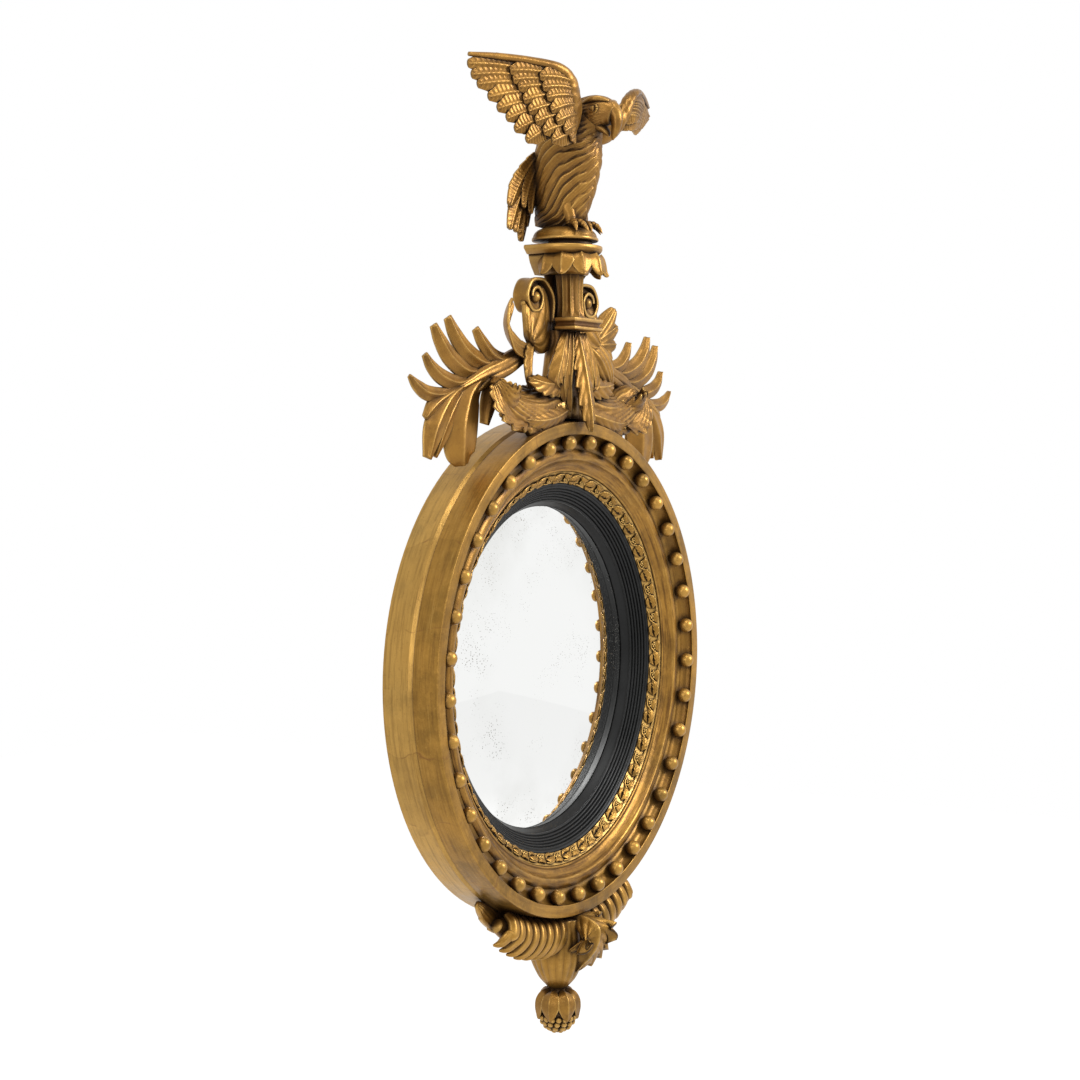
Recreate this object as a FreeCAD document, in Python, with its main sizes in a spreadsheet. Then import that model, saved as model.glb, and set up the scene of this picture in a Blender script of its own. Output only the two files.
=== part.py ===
import FreeCAD, Part
import math
import os
import Sketcher
from FreeCAD import Placement, Rotation, Vector

# Girandole mirror: a deep round gilt frame with loose balls, a convex glass in a black
# reeded slip, a carved crest with an eagle, and a carved pendant.
# Millimetres. The origin is the middle of the round frame on the wall plane: X runs to the
# right seen from the front, the front faces -Y, and Z is up. Depths are measured forward
# from the wall.

doc = FreeCAD.newDocument("girandole_mirror")

# ------------------------------------------------------------------ driving dimensions

DIMENSIONS = {
    # turned frame: radii and depths of the profile's corners
    "wall_plane": 0,
    "drum_radius": 309.3,
    "step_depth": 35,
    "step_foot_radius": 306.3,
    "joint_depth": 40.5,
    "front_hoop_radius": 307.6,
    "lip_radius": 305,
    "lip_depth": 73,
    "lip_inner_radius": 290.4,
    "cove_radius": 10.6,
    "ball_floor_radius": 281,
    "ball_floor_depth": 60,
    "hoop_bore": 285,
    "ogee_outer_radius": 271.6,
    "ogee_crest_radius": 259,
    "ogee_crest_depth": 62,
    "ogee_foot_radius": 248,
    "ogee_foot_depth": 51.4,
    "ogee_roll": 12,
    "ogee_hollow": 20,
    "bead_radius": 244,
    "bead_depth": 50.7,
    "band_outer_depth": 49.3,
    "slip_outer_radius": 230.2,
    "slip_outer_depth": 39.9,
    "seat_depth": 12,
    # balls in the cove
    "ball_radius": 9.5,
    "ball_ring_radius": 280.1,
    "ball_depth": 69.45,
    "ball_number": 37,
    # slip and glass
    "reed_start_radius": 206.9,
    "reed_start_depth": 21.3,
    "reed_end_radius": 226.4,
    "reed_end_depth": 37.4,
    "reed_number": 5,
    "sight_radius": 201.1,
    "sight_depth": 12.3,
    "glass_radius": 207,
    "glass_thick": 3,
    "glass_edge_depth": 7.8,
    "glass_sagitta": 19,
    "carcass_bore": 209,
    "packing_bore": 199,
    "board_radius": 218,
    "board_front": 5.5,
    "board_back": 0,
    # back fixings
    "board_screw_circle": 213.5,
    "board_screw_number": 8,
    "screw_head_radius": 3.6,
    "screw_shank_radius": 1.6,
    "pocket_width": 28,
    "pocket_below": 46,
    "pocket_above": 24,
    "pocket_deep": 7,
    "hanger_offset": 185,
    "hanger_height": 190,
    "strap_width": 13,
    "strap_thick": 1.2,
    "strap_below": 40,
    "ring_axis_depth": 4,
    "ring_wire": 2.6,
    "ring_clear": 0.1,
    "ring_half_width": 9.5,
    "ring_drop": 16,
    # crest, from the saddle up
    "saddle_half_width": 62,
    "saddle_back": 12,
    "saddle_front": 66,
    "saddle_top": 338,
    "shaft_back": 27,
    "shaft_front": 64,
    "shaft_foot_half": 33,
    "shaft_top_half": 26,
    "shelf_bottom": 417.5,
    "shelf_top": 432,
    "shelf_half_width": 33,
    "shelf_back": 54,
    "shelf_front": 84,
    "shelf_groove": 3,
    "column_radius": 16.3,
    "column_depth": 56,
    "flute_number": 12,
    "flute_radius": 2.6,
    "board_half_width": 20,
    "collar_bottom": 484,
    "collar_top": 510,
    "collar_radius": 38,
    "collar_foot_radius": 29,
    "crest_back": 18,
    "cap_top": 521,
    "cap_half_width": 48,
    "cap_front": 94.5,
    "neck_radius": 27.6,
    "neck_depth": 55.6,
    "neck_top": 527,
    "rock_radius": 41.5,
    "rock_depth": 48.5,
    "rock_top": 545,
    "volute_back": 26,
    "volute_front": 48,
    "volute_x": 62,
    "volute_height": 456,
    "volute_radius": 21,
    "volute_eye": 7,
    "volute_sink": 5,
    "wing_thick": 8,
    "tail_thick": 9,
    "leaf_thick": 7,
    # pendant, from the drum down
    "bracket_depth": 38,
    "pendant_depth": 40,
    "bud_bottom": -447,
    "berry_radius": 3.8,
    "dowel_radius": 5,
    "dowel_spread": 25,
    "dowel_depth": 24,
}

sheet = doc.addObject("Spreadsheet::Sheet", "Dims")
for row, (alias, number) in enumerate(DIMENSIONS.items(), start=1):
    sheet.set("A%d" % row, alias)
    sheet.set("B%d" % row, str(number))
    sheet.setAlias("B%d" % row, alias)
doc.recompute()


def size(alias):
    """The sheet's value of one driving dimension."""
    return float(sheet.get(alias))


parts = []


def keep(item, label):
    """Name a finished sub-part and put it on the list that is written out."""
    item.Label = label
    parts.append(item)
    return item


# ------------------------------------------------------------------ sketch helpers

FACE_FRONT = Placement(Vector(0, 0, 0), Rotation(Vector(0, 0, 1), 180))


def new_body(label):
    body = doc.addObject("PartDesign::Body", label)
    return keep(body, label)


def origin_plane(body, role):
    for feature in body.Origin.OriginFeatures:
        if feature.Role == role:
            return feature


def new_sketch(body, role, name):
    sketch = body.newObject("Sketcher::SketchObject", name)
    sketch.AttachmentSupport = [(origin_plane(body, role), "")]
    sketch.MapMode = "FlatFace"
    return sketch


def tie(sketch, kind, edge, end, alias, sign=1):
    """Hold one end of an edge at the sheet's distance from the sketch's origin."""
    number = sketch.addConstraint(
        Sketcher.Constraint(kind, -1, 1, edge, end, sign * size(alias)))
    minus = "-" if sign < 0 else ""
    sketch.setExpression("Constraints[%d]" % number, "%sDims.%s" % (minus, alias))


def arc_middle(start, end, radius, side):
    """Middle point of an arc of the given radius; side +1 bulges left of start to end."""
    chord = end - start
    half = chord.Length / 2
    rise = radius - math.sqrt(max(radius ** 2 - half ** 2, 0))
    left = Vector(-chord.y, chord.x, 0).normalize()
    return start + chord * 0.5 + left * (side * rise)


def turned_profile(body, corners):
    """Closed sketch of (radius, depth) corners; a corner may start an arc (radius, side)."""
    sketch = new_sketch(body, "XY_Plane", body.Label + "_profile")
    points = [Vector(size(corner[0]), size(corner[1]), 0) for corner in corners]
    starts = []
    ends = []
    for index, corner in enumerate(corners):
        first = points[index]
        last = points[(index + 1) % len(points)]
        if len(corner) > 2:
            middle = arc_middle(first, last, size(corner[2]), corner[3])
            sketch.addGeometry(Part.Arc(first, middle, last), False)
            # a sketch stores every arc counter-clockwise, so a clockwise one is turned round
            clockwise = corner[3] > 0
            starts.append(2 if clockwise else 1)
            ends.append(1 if clockwise else 2)
        else:
            sketch.addGeometry(Part.LineSegment(first, last), False)
            starts.append(1)
            ends.append(2)
    for index, corner in enumerate(corners):
        following = (index + 1) % len(corners)
        sketch.addConstraint(
            Sketcher.Constraint("Coincident", index, ends[index], following, starts[following]))
        tie(sketch, "DistanceX", index, starts[index], corner[0])
        tie(sketch, "DistanceY", index, starts[index], corner[1])
        if len(corner) > 2:
            number = sketch.addConstraint(Sketcher.Constraint("Radius", index, size(corner[2])))
            sketch.setExpression("Constraints[%d]" % number, "Dims." + corner[2])
    return sketch


def turned_ring(label, corners):
    """A ring turned round the axis through the glass, from its profile."""
    body = new_body(label)
    sketch = turned_profile(body, corners)
    turning = body.newObject("PartDesign::Revolution", label + "_turning")
    turning.Profile = sketch
    turning.ReferenceAxis = (sketch, ["V_Axis"])
    turning.Angle = 360
    body.Placement = FACE_FRONT
    doc.recompute()
    return body


def feature(label, shape, placement=None):
    """A carved or bent piece whose shape is worked out here from the sheet."""
    item = doc.addObject("Part::Feature", label)
    item.Shape = shape
    if placement:
        item.Placement = placement
    return keep(item, label)


def front_disc(radius, near, far, x=0.0, z=0.0):
    """Cylinder along the depth axis, between two depths."""
    return Part.makeCylinder(radius, far - near, Vector(x, -near, z), Vector(0, -1, 0))


# ------------------------------------------------------------------ drum-shaped frame
# The drum is built up of glued rings: a carcass with the rebates for glass and backboard,
# two hoops round it, and the inner mouldings. The hoops meet at the small step half way
# down the side.

carcass = turned_ring("carcass_ring", [
    ("board_radius", "wall_plane"),
    ("hoop_bore", "wall_plane"),
    ("hoop_bore", "joint_depth"),
    ("ogee_outer_radius", "joint_depth"),
    ("ogee_outer_radius", "seat_depth"),
    ("carcass_bore", "seat_depth"),
    ("carcass_bore", "board_front"),
    ("board_radius", "board_front"),
])
back_hoop = turned_ring("back_hoop", [
    ("hoop_bore", "wall_plane"),
    ("drum_radius", "wall_plane"),
    ("drum_radius", "step_depth"),
    ("step_foot_radius", "joint_depth"),
    ("hoop_bore", "joint_depth"),
])
front_hoop = turned_ring("front_hoop", [
    ("ogee_outer_radius", "joint_depth"),
    ("front_hoop_radius", "joint_depth"),
    ("lip_radius", "lip_depth"),
    ("lip_inner_radius", "lip_depth", "cove_radius", 1),
    ("ball_floor_radius", "ball_floor_depth"),
    ("ogee_outer_radius", "ball_floor_depth"),
])
ogee = turned_ring("ogee_moulding", [
    ("bead_radius", "seat_depth"),
    ("ogee_outer_radius", "seat_depth"),
    ("ogee_outer_radius", "ball_floor_depth", "ogee_roll", -1),
    ("ogee_crest_radius", "ogee_crest_depth", "ogee_hollow", 1),
    ("ogee_foot_radius", "ogee_foot_depth"),
    ("bead_radius", "bead_depth"),
])
band = turned_ring("ornament_band", [
    ("slip_outer_radius", "seat_depth"),
    ("bead_radius", "seat_depth"),
    ("bead_radius", "band_outer_depth"),
    ("slip_outer_radius", "slip_outer_depth"),
])


def gilt_balls():
    """Turned balls, each glued to the cove's floor on a small flat; one sits at the bottom."""
    floor = size("ball_floor_depth")
    reach = 2 * size("lip_radius")
    seat = Part.makeBox(2 * reach, floor, 2 * reach, Vector(-reach, -floor, -reach))
    balls = []
    for index in range(int(size("ball_number"))):
        turn = -math.pi / 2 + 2 * math.pi * index / size("ball_number")
        centre = Vector(size("ball_ring_radius") * math.cos(turn), -size("ball_depth"),
                        size("ball_ring_radius") * math.sin(turn))
        balls.append(Part.makeSphere(size("ball_radius"), centre).cut(seat))
    return Part.makeCompound(balls)


feature("gilt_balls", gilt_balls())


def reeded_slip():
    """Black ring: a hollow at the sight edge, half-round reeds up the slope, a flat fillet."""
    start = Vector(size("reed_start_radius"), -size("reed_start_depth"), 0)
    finish = Vector(size("reed_end_radius"), -size("reed_end_depth"), 0)
    step = (finish - start) * (1 / size("reed_number"))
    outward = Vector(step.y, -step.x, 0).normalize()
    rise = step.Length * 0.32
    sight = Vector(size("sight_radius"), -size("sight_depth"), 0)
    seat = -size("seat_depth")
    outer = size("slip_outer_radius")
    edges = [Part.LineSegment(sight, start)]
    for index in range(int(size("reed_number"))):
        near = start + step * index
        far = near + step
        edges.append(Part.Arc(near, (near + far) * 0.5 + outward * rise, far))
    corners = [finish, Vector(outer, -size("slip_outer_depth"), 0), Vector(outer, seat, 0),
               Vector(size("sight_radius"), seat, 0), sight]
    for near, far in zip(corners, corners[1:]):
        edges.append(Part.LineSegment(near, far))
    wire = Part.Wire([edge.toShape() for edge in edges])
    return Part.Face(wire).revolve(Vector(0, 0, 0), Vector(0, 1, 0), 360)


feature("reeded_slip", reeded_slip())


def dome_radius(sagitta, half_chord):
    return (half_chord ** 2 + sagitta ** 2) / (2 * sagitta)


def mirror_glass():
    """Blown-sheet disc: two parallel domed faces and a ground cylindrical edge."""
    ball = dome_radius(size("glass_sagitta"), size("glass_radius"))
    top = size("glass_edge_depth") + size("glass_sagitta")
    thick = size("glass_thick")
    outside = Part.makeSphere(ball, Vector(0, ball - top - thick, 0))
    inside = Part.makeSphere(ball, Vector(0, ball - top, 0))
    blank = front_disc(size("glass_radius"), size("glass_edge_depth") - 0.5, top + thick + 1)
    return blank.common(outside).cut(inside)


feature("mirror_glass", mirror_glass())
feature("glass_packing", front_disc(size("carcass_bore"), size("board_front"),
                                    size("glass_edge_depth"))
        .cut(front_disc(size("packing_bore"), 0, size("lip_depth"))))


def countersunk_screw(length, head, shank):
    """Wood screw along +Z from its tip, head on top at zero height."""
    cone = Part.makeCone(shank, head, head - shank, Vector(0, 0, shank - head), Vector(0, 0, 1))
    stem = Part.makeCylinder(shank, length - head, Vector(0, 0, -length + shank),
                             Vector(0, 0, 1))
    tip = Part.makeCone(0.3, shank, shank, Vector(0, 0, -length), Vector(0, 0, 1))
    slot = Part.makeBox(2 * head, 0.8, 0.8, Vector(-head, -0.4, -0.8))
    return cone.fuse([stem, tip]).removeSplitter().cut(slot)


def backboard_and_screws():
    """Thin ply disc in the rear rebate, held by screws through its rim into the carcass."""
    board = front_disc(size("board_radius") - 0.5, size("board_back"), size("board_front"))
    screws = []
    number = int(size("board_screw_number"))
    for index in range(number):
        turn = 2 * math.pi * (index + 0.5) / number
        place = Vector(size("board_screw_circle") * math.cos(turn), -size("board_back"),
                       size("board_screw_circle") * math.sin(turn))
        screw = countersunk_screw(9.5, size("screw_head_radius"), size("screw_shank_radius"))
        screw.Placement = Placement(place, Rotation(Vector(1, 0, 0), -90))
        screws.append(screw)
    return board, screws


board_shape, board_screws = backboard_and_screws()
for board_screw in board_screws:
    board_shape = board_shape.cut(board_screw)
feature("backboard", board_shape)
feature("backboard_screws", Part.makeCompound(board_screws))

# ------------------------------------------------------------------ hangers on the back
# Two steel strap hangers lie in routed pockets. Each strap is folded round the straight bar
# of a D-ring, which turns up on it to take the wire.


def hanger_centre(side):
    return Vector(side * size("hanger_offset"), 0, size("hanger_height"))


def pocket_shape(side):
    centre = hanger_centre(side)
    half = size("pocket_width") / 2
    tall = size("pocket_below") + size("pocket_above") - 2 * half
    low = centre.z - size("pocket_below") + half
    deep = size("pocket_deep")
    box = Part.makeBox(2 * half, deep, tall, Vector(centre.x - half, -deep, low))
    ends = [front_disc(half, 0, deep, centre.x, low), front_disc(half, 0, deep, centre.x,
                                                                 low + tall)]
    return box.fuse(ends).removeSplitter()


HANGER_SCREWS = (-12, -30)


def strap_screws(side):
    centre = hanger_centre(side)
    found = []
    for below in HANGER_SCREWS:
        head = countersunk_screw(6, 3.2, 1.5)
        top = size("pocket_deep") - size("strap_thick") - 0.2
        head.Placement = Placement(Vector(centre.x, -top, centre.z + below),
                                   Rotation(Vector(1, 0, 0), -90))
        found.append(head)
    return found


def hanger_strap(side):
    centre = hanger_centre(side)
    half = size("strap_width") / 2
    thick = size("strap_thick")
    floor = -size("pocket_deep")
    axis = Vector(centre.x - half, -size("ring_axis_depth"), centre.z)
    bore = size("ring_wire") / 2 + size("ring_clear")
    loop = Part.makeCylinder(bore + thick, 2 * half, axis, Vector(1, 0, 0))
    plate = Part.makeBox(2 * half, thick, size("strap_below") - half,
                         Vector(centre.x - half, floor, centre.z - size("strap_below") + half))
    web = Part.makeBox(2 * half, bore + thick, thick,
                       Vector(centre.x - half, floor, centre.z - thick))
    foot = front_disc(half, size("pocket_deep") - thick, size("pocket_deep"), centre.x,
                      centre.z - size("strap_below") + half)
    hole = Part.makeCylinder(bore, 2 * half + 2, axis - Vector(1, 0, 0), Vector(1, 0, 0))
    strap = loop.fuse([plate, web, foot]).removeSplitter().cut(hole)
    for screw in strap_screws(side):
        strap = strap.cut(screw)
    return strap


def hanger_ring(side):
    """D-shaped wire ring: a straight bar in the strap's loop and a round bow below it."""
    centre = hanger_centre(side)
    depth = -size("ring_axis_depth")
    half = size("ring_half_width")
    bow = size("ring_drop") - half
    wire = size("ring_wire") / 2
    left = Vector(centre.x - half, depth, centre.z)
    right = Vector(centre.x + half, depth, centre.z)
    low_left = left - Vector(0, 0, bow)
    low_right = right - Vector(0, 0, bow)
    lowest = Vector(centre.x, depth, centre.z - size("ring_drop"))
    pieces = [
        Part.makeCylinder(wire, 2 * half, left, Vector(1, 0, 0)),
        Part.makeCylinder(wire, bow, low_left, Vector(0, 0, 1)),
        Part.makeCylinder(wire, bow, low_right, Vector(0, 0, 1)),
        Part.makeSphere(wire, left),
        Part.makeSphere(wire, right),
    ]
    path = Part.Wire([Part.Arc(low_left, lowest, low_right).toShape()])
    section = Part.Wire([Part.makeCircle(wire, low_left, Vector(0, 0, 1))])
    pieces.append(path.makePipeShell([section], True, True))
    return pieces[0].fuse(pieces[1:]).removeSplitter()


for side, name in ((-1, "left"), (1, "right")):
    feature("hanger_strap_" + name, hanger_strap(side))
    feature("hanger_ring_" + name, hanger_ring(side))
all_strap_screws = strap_screws(-1) + strap_screws(1)
feature("hanger_screws", Part.makeCompound(all_strap_screws))

# ------------------------------------------------------------------ leaf helpers


def oval(centre, side, out, half_width, half_thick):
    """Ellipse wire round a centre, with its long half axis along side."""
    rim = Part.Ellipse(centre + side * half_width, centre + out * half_thick, centre)
    return Part.Wire([rim.toShape()])


def lofted(sections, straight=False):
    """Solid through closed sections, smooth or in straight steps."""
    return Part.makeLoft(sections, True, straight)


def blade(spine, widths, thick, face, straight=False):
    """Lofted leaf along a curved spine; widths are taken at even steps from root to tip."""
    curve = Part.BezierCurve()
    curve.setPoles(spine)
    sections = []
    for index, width in enumerate(widths):
        at = index / (len(widths) - 1)
        centre = curve.value(at)
        along = curve.tangent(at)[0]
        side = along.cross(face).normalize()
        out = side.cross(along).normalize()
        half_thick = min(thick, 0.7 * width) / 2
        sections.append(oval(centre, side, out, width / 2, half_thick))
    return lofted(sections, straight)


def stem(spine, radii):
    """Round tapering stalk along a curved spine."""
    curve = Part.BezierCurve()
    curve.setPoles(spine)
    sections = []
    for index, radius in enumerate(radii):
        at = index / (len(radii) - 1)
        sections.append(Part.Wire([Part.makeCircle(radius, curve.value(at),
                                                   curve.tangent(at)[0])]))
    return lofted(sections)


def joined(shapes):
    """Carve several forms as one piece."""
    return shapes[0].fuse(shapes[1:])


def mirrored(shape):
    return shape.mirror(Vector(0, 0, 0), Vector(1, 0, 0))


def both_sides(name, shape):
    """The left-hand carving and its mirror image on the right."""
    feature(name + "_left", shape)
    feature(name + "_right", mirrored(shape))


def at_depth(depth, points):
    """Points (x, z) on one plane in front of the wall."""
    return [Vector(x, -depth, z) for x, z in points]


def turned_upright(depth_alias, profile):
    """Solid turned round an upright axis in front of the wall, from (radius, height) corners."""
    depth = -size(depth_alias)
    curve = Part.BSplineCurve()
    curve.interpolate([Vector(radius, depth, height) for radius, height in profile])
    top = Vector(0, depth, profile[0][1])
    foot = Vector(0, depth, profile[-1][1])
    wire = Part.Wire([Part.makeLine(top, curve.StartPoint), curve.toShape(),
                      Part.makeLine(curve.EndPoint, foot), Part.makeLine(foot, top)])
    return Part.Face(wire).revolve(Vector(0, depth, 0), Vector(0, 0, 1), 360)


FRONT = Vector(0, -1, 0)

# ------------------------------------------------------------------ crest: the standing parts


def dee_outline(half, back, front, height):
    """Plan with a square back and a round front, as a wire at one height."""
    centre = -(front - half)
    left = Vector(-half, centre, height)
    right = Vector(half, centre, height)
    arc = Part.Arc(left, Vector(0, -front, height), right)
    back_left = Vector(-half, -back, height)
    back_right = Vector(half, -back, height)
    return Part.Wire([arc.toShape(), Part.makeLine(right, back_right),
                      Part.makeLine(back_right, back_left), Part.makeLine(back_left, left)])


def crest_saddle():
    """Block under the shaft, hollowed below to sit on the drum."""
    half = size("saddle_half_width")
    base = -size("saddle_back")
    front = -size("saddle_front")
    low = 290
    top = size("saddle_top")
    corners = [Vector(-half, base, low), Vector(half, base, low), Vector(half, base, low + 18),
               Vector(size("shaft_foot_half"), base, top),
               Vector(-size("shaft_foot_half"), base, top), Vector(-half, base, low + 18)]
    face = Part.Face(Part.makePolygon(corners + corners[:1]))
    block = face.extrude(Vector(0, front - base, 0))
    drum = front_disc(size("drum_radius"), -1, size("lip_depth") + 1)
    return block.cut(drum)


def lower_shaft():
    """Tapering stock between the saddle and the shelf, with the backing board above it."""
    back = -size("shaft_back")
    front = -size("shaft_front")
    foot = size("shaft_foot_half")
    head = size("shaft_top_half")
    rings = []
    for half, height in ((foot, size("saddle_top")), (foot * 0.86, 365),
                         (head, size("shelf_bottom"))):
        corners = [Vector(-half, back, height), Vector(-half * 0.55, front, height),
                   Vector(half * 0.55, front, height), Vector(half, back, height)]
        rings.append(Part.makePolygon(corners + corners[:1]))
    stock = Part.makeLoft(rings, True, True)
    board_front = size("column_depth") - size("column_radius")
    half_board = size("board_half_width")
    board = Part.makeBox(2 * half_board, board_front - size("shaft_back"),
                         size("collar_top") - size("shelf_bottom"),
                         Vector(-half_board, -board_front, size("shelf_bottom")))
    return joined([stock, board])


saddle_shape = crest_saddle()
shaft_shape = lower_shaft()


def fluted_column():
    """Round column with hollow flutes, between the shelf and the cap."""
    column = Part.makeCylinder(size("column_radius"), size("collar_top") - size("shelf_top"),
                               Vector(0, -size("column_depth"), size("shelf_top")))
    cutters = []
    number = int(size("flute_number"))
    for index in range(number):
        turn = 2 * math.pi * (index + 0.5) / number
        place = Vector(size("column_radius") * math.cos(turn),
                       size("column_radius") * math.sin(turn) - size("column_depth"),
                       size("shelf_top") + 3)
        cutters.append(Part.makeCylinder(size("flute_radius"), 100, place))
    return column.cut(cutters)


def shelf_moulding():
    """Small square shelf with a hollow run round its front and sides."""
    half = size("shelf_half_width")
    low = size("shelf_bottom")
    tall = size("shelf_top") - low
    deep = size("shelf_front") - size("shelf_back")
    block = Part.makeBox(2 * half, deep, tall, Vector(-half, -size("shelf_front"), low))
    middle = low + tall / 2
    groove = size("shelf_groove")
    front = Part.makeCylinder(groove, 2 * half + 2, Vector(-half - 1, -size("shelf_front"),
                                                           middle), Vector(1, 0, 0))
    runs = [front]
    for side in (-half, half):
        runs.append(Part.makeCylinder(groove, deep + 2, Vector(side, -size("shelf_front") - 1,
                                                               middle), Vector(0, 1, 0)))
    return block.cut(runs)


column_shape = fluted_column()
feature("shelf_moulding", shelf_moulding())


def leaf_collar():
    """Bellied cup of leaves under the cap, hollowed to sit round the column and the board."""
    foot = size("collar_foot_radius")
    belly = size("collar_radius")
    depth = -size("column_depth")
    low = size("collar_bottom")
    top = size("collar_top")
    middle = low + 0.6 * (top - low)
    corners = [Vector(size("column_radius"), depth, low), Vector(foot, depth, low),
               Vector(belly, depth, middle), Vector(belly, depth, top),
               Vector(size("column_radius"), depth, top)]
    section = Part.Face(Part.makePolygon(corners + corners[:1]))
    cup = section.revolve(Vector(0, depth, 0), Vector(0, 0, 1), 360)
    half_board = size("board_half_width")
    slot_front = size("column_depth") - 0.7 * size("column_radius")
    slot = Part.makeBox(2 * half_board, slot_front - size("crest_back") + 2, 2 * (top - low),
                        Vector(-half_board, -slot_front, low - 1))
    return cup.cut(slot)


feature("leaf_collar", leaf_collar())


def cap_moulding():
    half = size("cap_half_width")
    front = size("cap_front")
    low = size("collar_top")
    rings = [dee_outline(half - 5, size("crest_back"), front - 5, low),
             dee_outline(half, size("crest_back"), front, low + 6)]
    taper = Part.makeLoft(rings, True, True)
    slab = Part.Face(dee_outline(half, size("crest_back"), front, low + 6))
    slab = slab.extrude(Vector(0, 0, size("cap_top") - low - 6))
    return joined([taper, slab]).removeSplitter()


feature("cap_moulding", cap_moulding())

neck = doc.addObject("Part::Cylinder", "neck_disc")
neck.setExpression("Radius", "Dims.neck_radius")
neck.setExpression("Height", "Dims.neck_top - Dims.cap_top")
neck.setExpression(".Placement.Base.y", "-Dims.neck_depth")
neck.setExpression(".Placement.Base.z", "Dims.cap_top")
keep(neck, "neck_disc")


def rock_mound():
    """Low carved rock under the eagle's feet: upright foot, rounded rough top."""
    rings = []
    low = size("neck_top")
    tall = size("rock_top") - low
    for share, spread in ((0, 0.93), (0.25, 1.0), (0.6, 0.93), (0.85, 0.74), (1, 0.45)):
        centre = Vector(0, -size("rock_depth"), low + share * tall)
        rings.append(Part.Wire([Part.makeCircle(size("rock_radius") * spread, centre)]))
    return lofted(rings)


# ------------------------------------------------------------------ eagle


def body_section(height, depth, half_x, half_y):
    centre = Vector(0, -depth, height)
    if half_x > half_y:
        return oval(centre, Vector(1, 0, 0), Vector(0, 1, 0), half_x, half_y)
    return oval(centre, Vector(0, 1, 0), Vector(-1, 0, 0), half_y, half_x)


def eagle_body():
    """Torso, neck and head in one carving; legs and toes grip the rock."""
    torso = lofted([
        body_section(549, 45, 19, 24),
        body_section(566, 43, 26, 30),
        body_section(590, 46, 30, 36),
        body_section(615, 50, 32, 43),
        body_section(640, 54, 31, 42),
        body_section(658, 66, 27, 35),
        body_section(674, 82, 22, 29),
        body_section(688, 91, 20, 25),
        body_section(697, 93, 13, 17),
    ])
    beak = lofted([
        oval(Vector(0, -106, 683), Vector(0, 0.25, 1).normalize(), Vector(1, 0, 0), 15, 12),
        oval(Vector(0, -119, 676), Vector(0, -0.6, 1).normalize(), Vector(1, 0, 0), 12, 8.5),
        oval(Vector(0, -122.5, 662), Vector(0, -1, 0.45).normalize(), Vector(1, 0, 0), 7, 5),
        oval(Vector(0, -117, 648), Vector(0, -1, -0.2).normalize(), Vector(1, 0, 0), 1.8, 1.4),
    ])
    forms = [torso, beak]
    for side in (-1, 1):
        hip = Vector(side * 14, -56, 572)
        ankle = Vector(side * 14, -66, 547)
        forms.append(Part.makeCone(11, 6, 27, hip, ankle - hip))
        forms.append(Part.makeSphere(7, ankle))
        for spread in (-0.55, 0, 0.55):
            toe = Vector(spread, -1, -0.22).normalize()
            forms.append(Part.makeCone(4, 2, 21, ankle + toe * 4, toe))
    return joined(forms)


eagle_shape = eagle_body()
rock_shape = rock_mound().cut(eagle_shape)
feature("rock_mound", rock_shape)


def wing_outline():
    """Front view of the left wing: smooth leading edge, eight stepped primary tips."""
    leading = [(-24, 690), (-48, 683), (-68, 690), (-75, 706), (-78, 718), (-92, 727),
               (-120, 731), (-165, 728), (-205, 731)]
    tips = [(-212, 722), (-204, 709), (-200, 698), (-190, 694), (-189, 686), (-180, 681),
            (-171, 681), (-170, 669), (-163, 668), (-161, 658), (-152, 657), (-149, 649),
            (-143, 648), (-141, 638), (-134, 637), (-132, 628), (-118, 627)]
    under = [(-84, 632), (-52, 640), (-20, 652)]
    curve = Part.BSplineCurve()
    curve.interpolate(at_depth(0, leading))
    rest = Part.makePolygon(at_depth(0, [leading[-1]] + tips + under + [leading[0]]))
    return Part.Face(Part.Wire([curve.toShape()] + rest.Edges))


def wing_sheet():
    """Plan view of the left wing: it bows forward at the wrist and sweeps back."""
    plan = [(-14, 58), (-45, 86), (-74, 97), (-110, 87), (-155, 68), (-216, 43)]
    half = size("wing_thick") / 2
    curves = []
    for shift in (-half, half):
        curve = Part.BSplineCurve()
        curve.interpolate([Vector(x, -depth + shift, 600) for x, depth in plan])
        curves.append(curve.toShape())
    return Part.makeRuledSurface(curves[0], curves[1]).extrude(Vector(0, 0, 160))


wing_block = wing_outline().extrude(Vector(0, -150, 0))
wing_shape = wing_block.common(wing_sheet()).cut(eagle_shape)
wing_left = max(wing_shape.Solids, key=lambda solid: solid.Volume)
wing_right = mirrored(wing_left)


def eagle_tail():
    """Fan of tail feathers hanging behind to the left, with stepped tips."""
    outline = [(2, 640), (-14, 636), (-30, 616), (-46, 598), (-66, 577), (-77, 568), (-67, 559),
               (-70, 547), (-73, 535), (-64, 531), (-55, 538), (-50, 530), (-42, 523),
               (-34, 530), (-29, 546), (-22, 560), (2, 590)]
    depth = 17
    face = Part.Face(Part.makePolygon(at_depth(depth, outline + outline[:1])))
    return face.extrude(Vector(0, size("tail_thick"), 0))


tail_shape = eagle_tail().cut(eagle_shape)
tail_shape = max(tail_shape.Solids, key=lambda solid: solid.Volume)
feature("eagle_tail", tail_shape)


def wing_dowels():
    """Short pegs from the shoulders into the wing roots."""
    radius = size("dowel_radius") * 0.5
    pegs = []
    for side in (-1, 1):
        pegs.append(Part.makeCylinder(radius, 24, Vector(side * 15, -59.5, 668),
                                      Vector(side, -0.9, 0)))
    return pegs


pegs = wing_dowels()
feature("eagle_body", eagle_shape.cut(pegs))
feature("eagle_wing_left", wing_left.cut(pegs))
feature("eagle_wing_right", wing_right.cut(pegs))
feature("wing_dowels", Part.makeCompound(pegs))

# ------------------------------------------------------------------ crest: the side carvings


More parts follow.
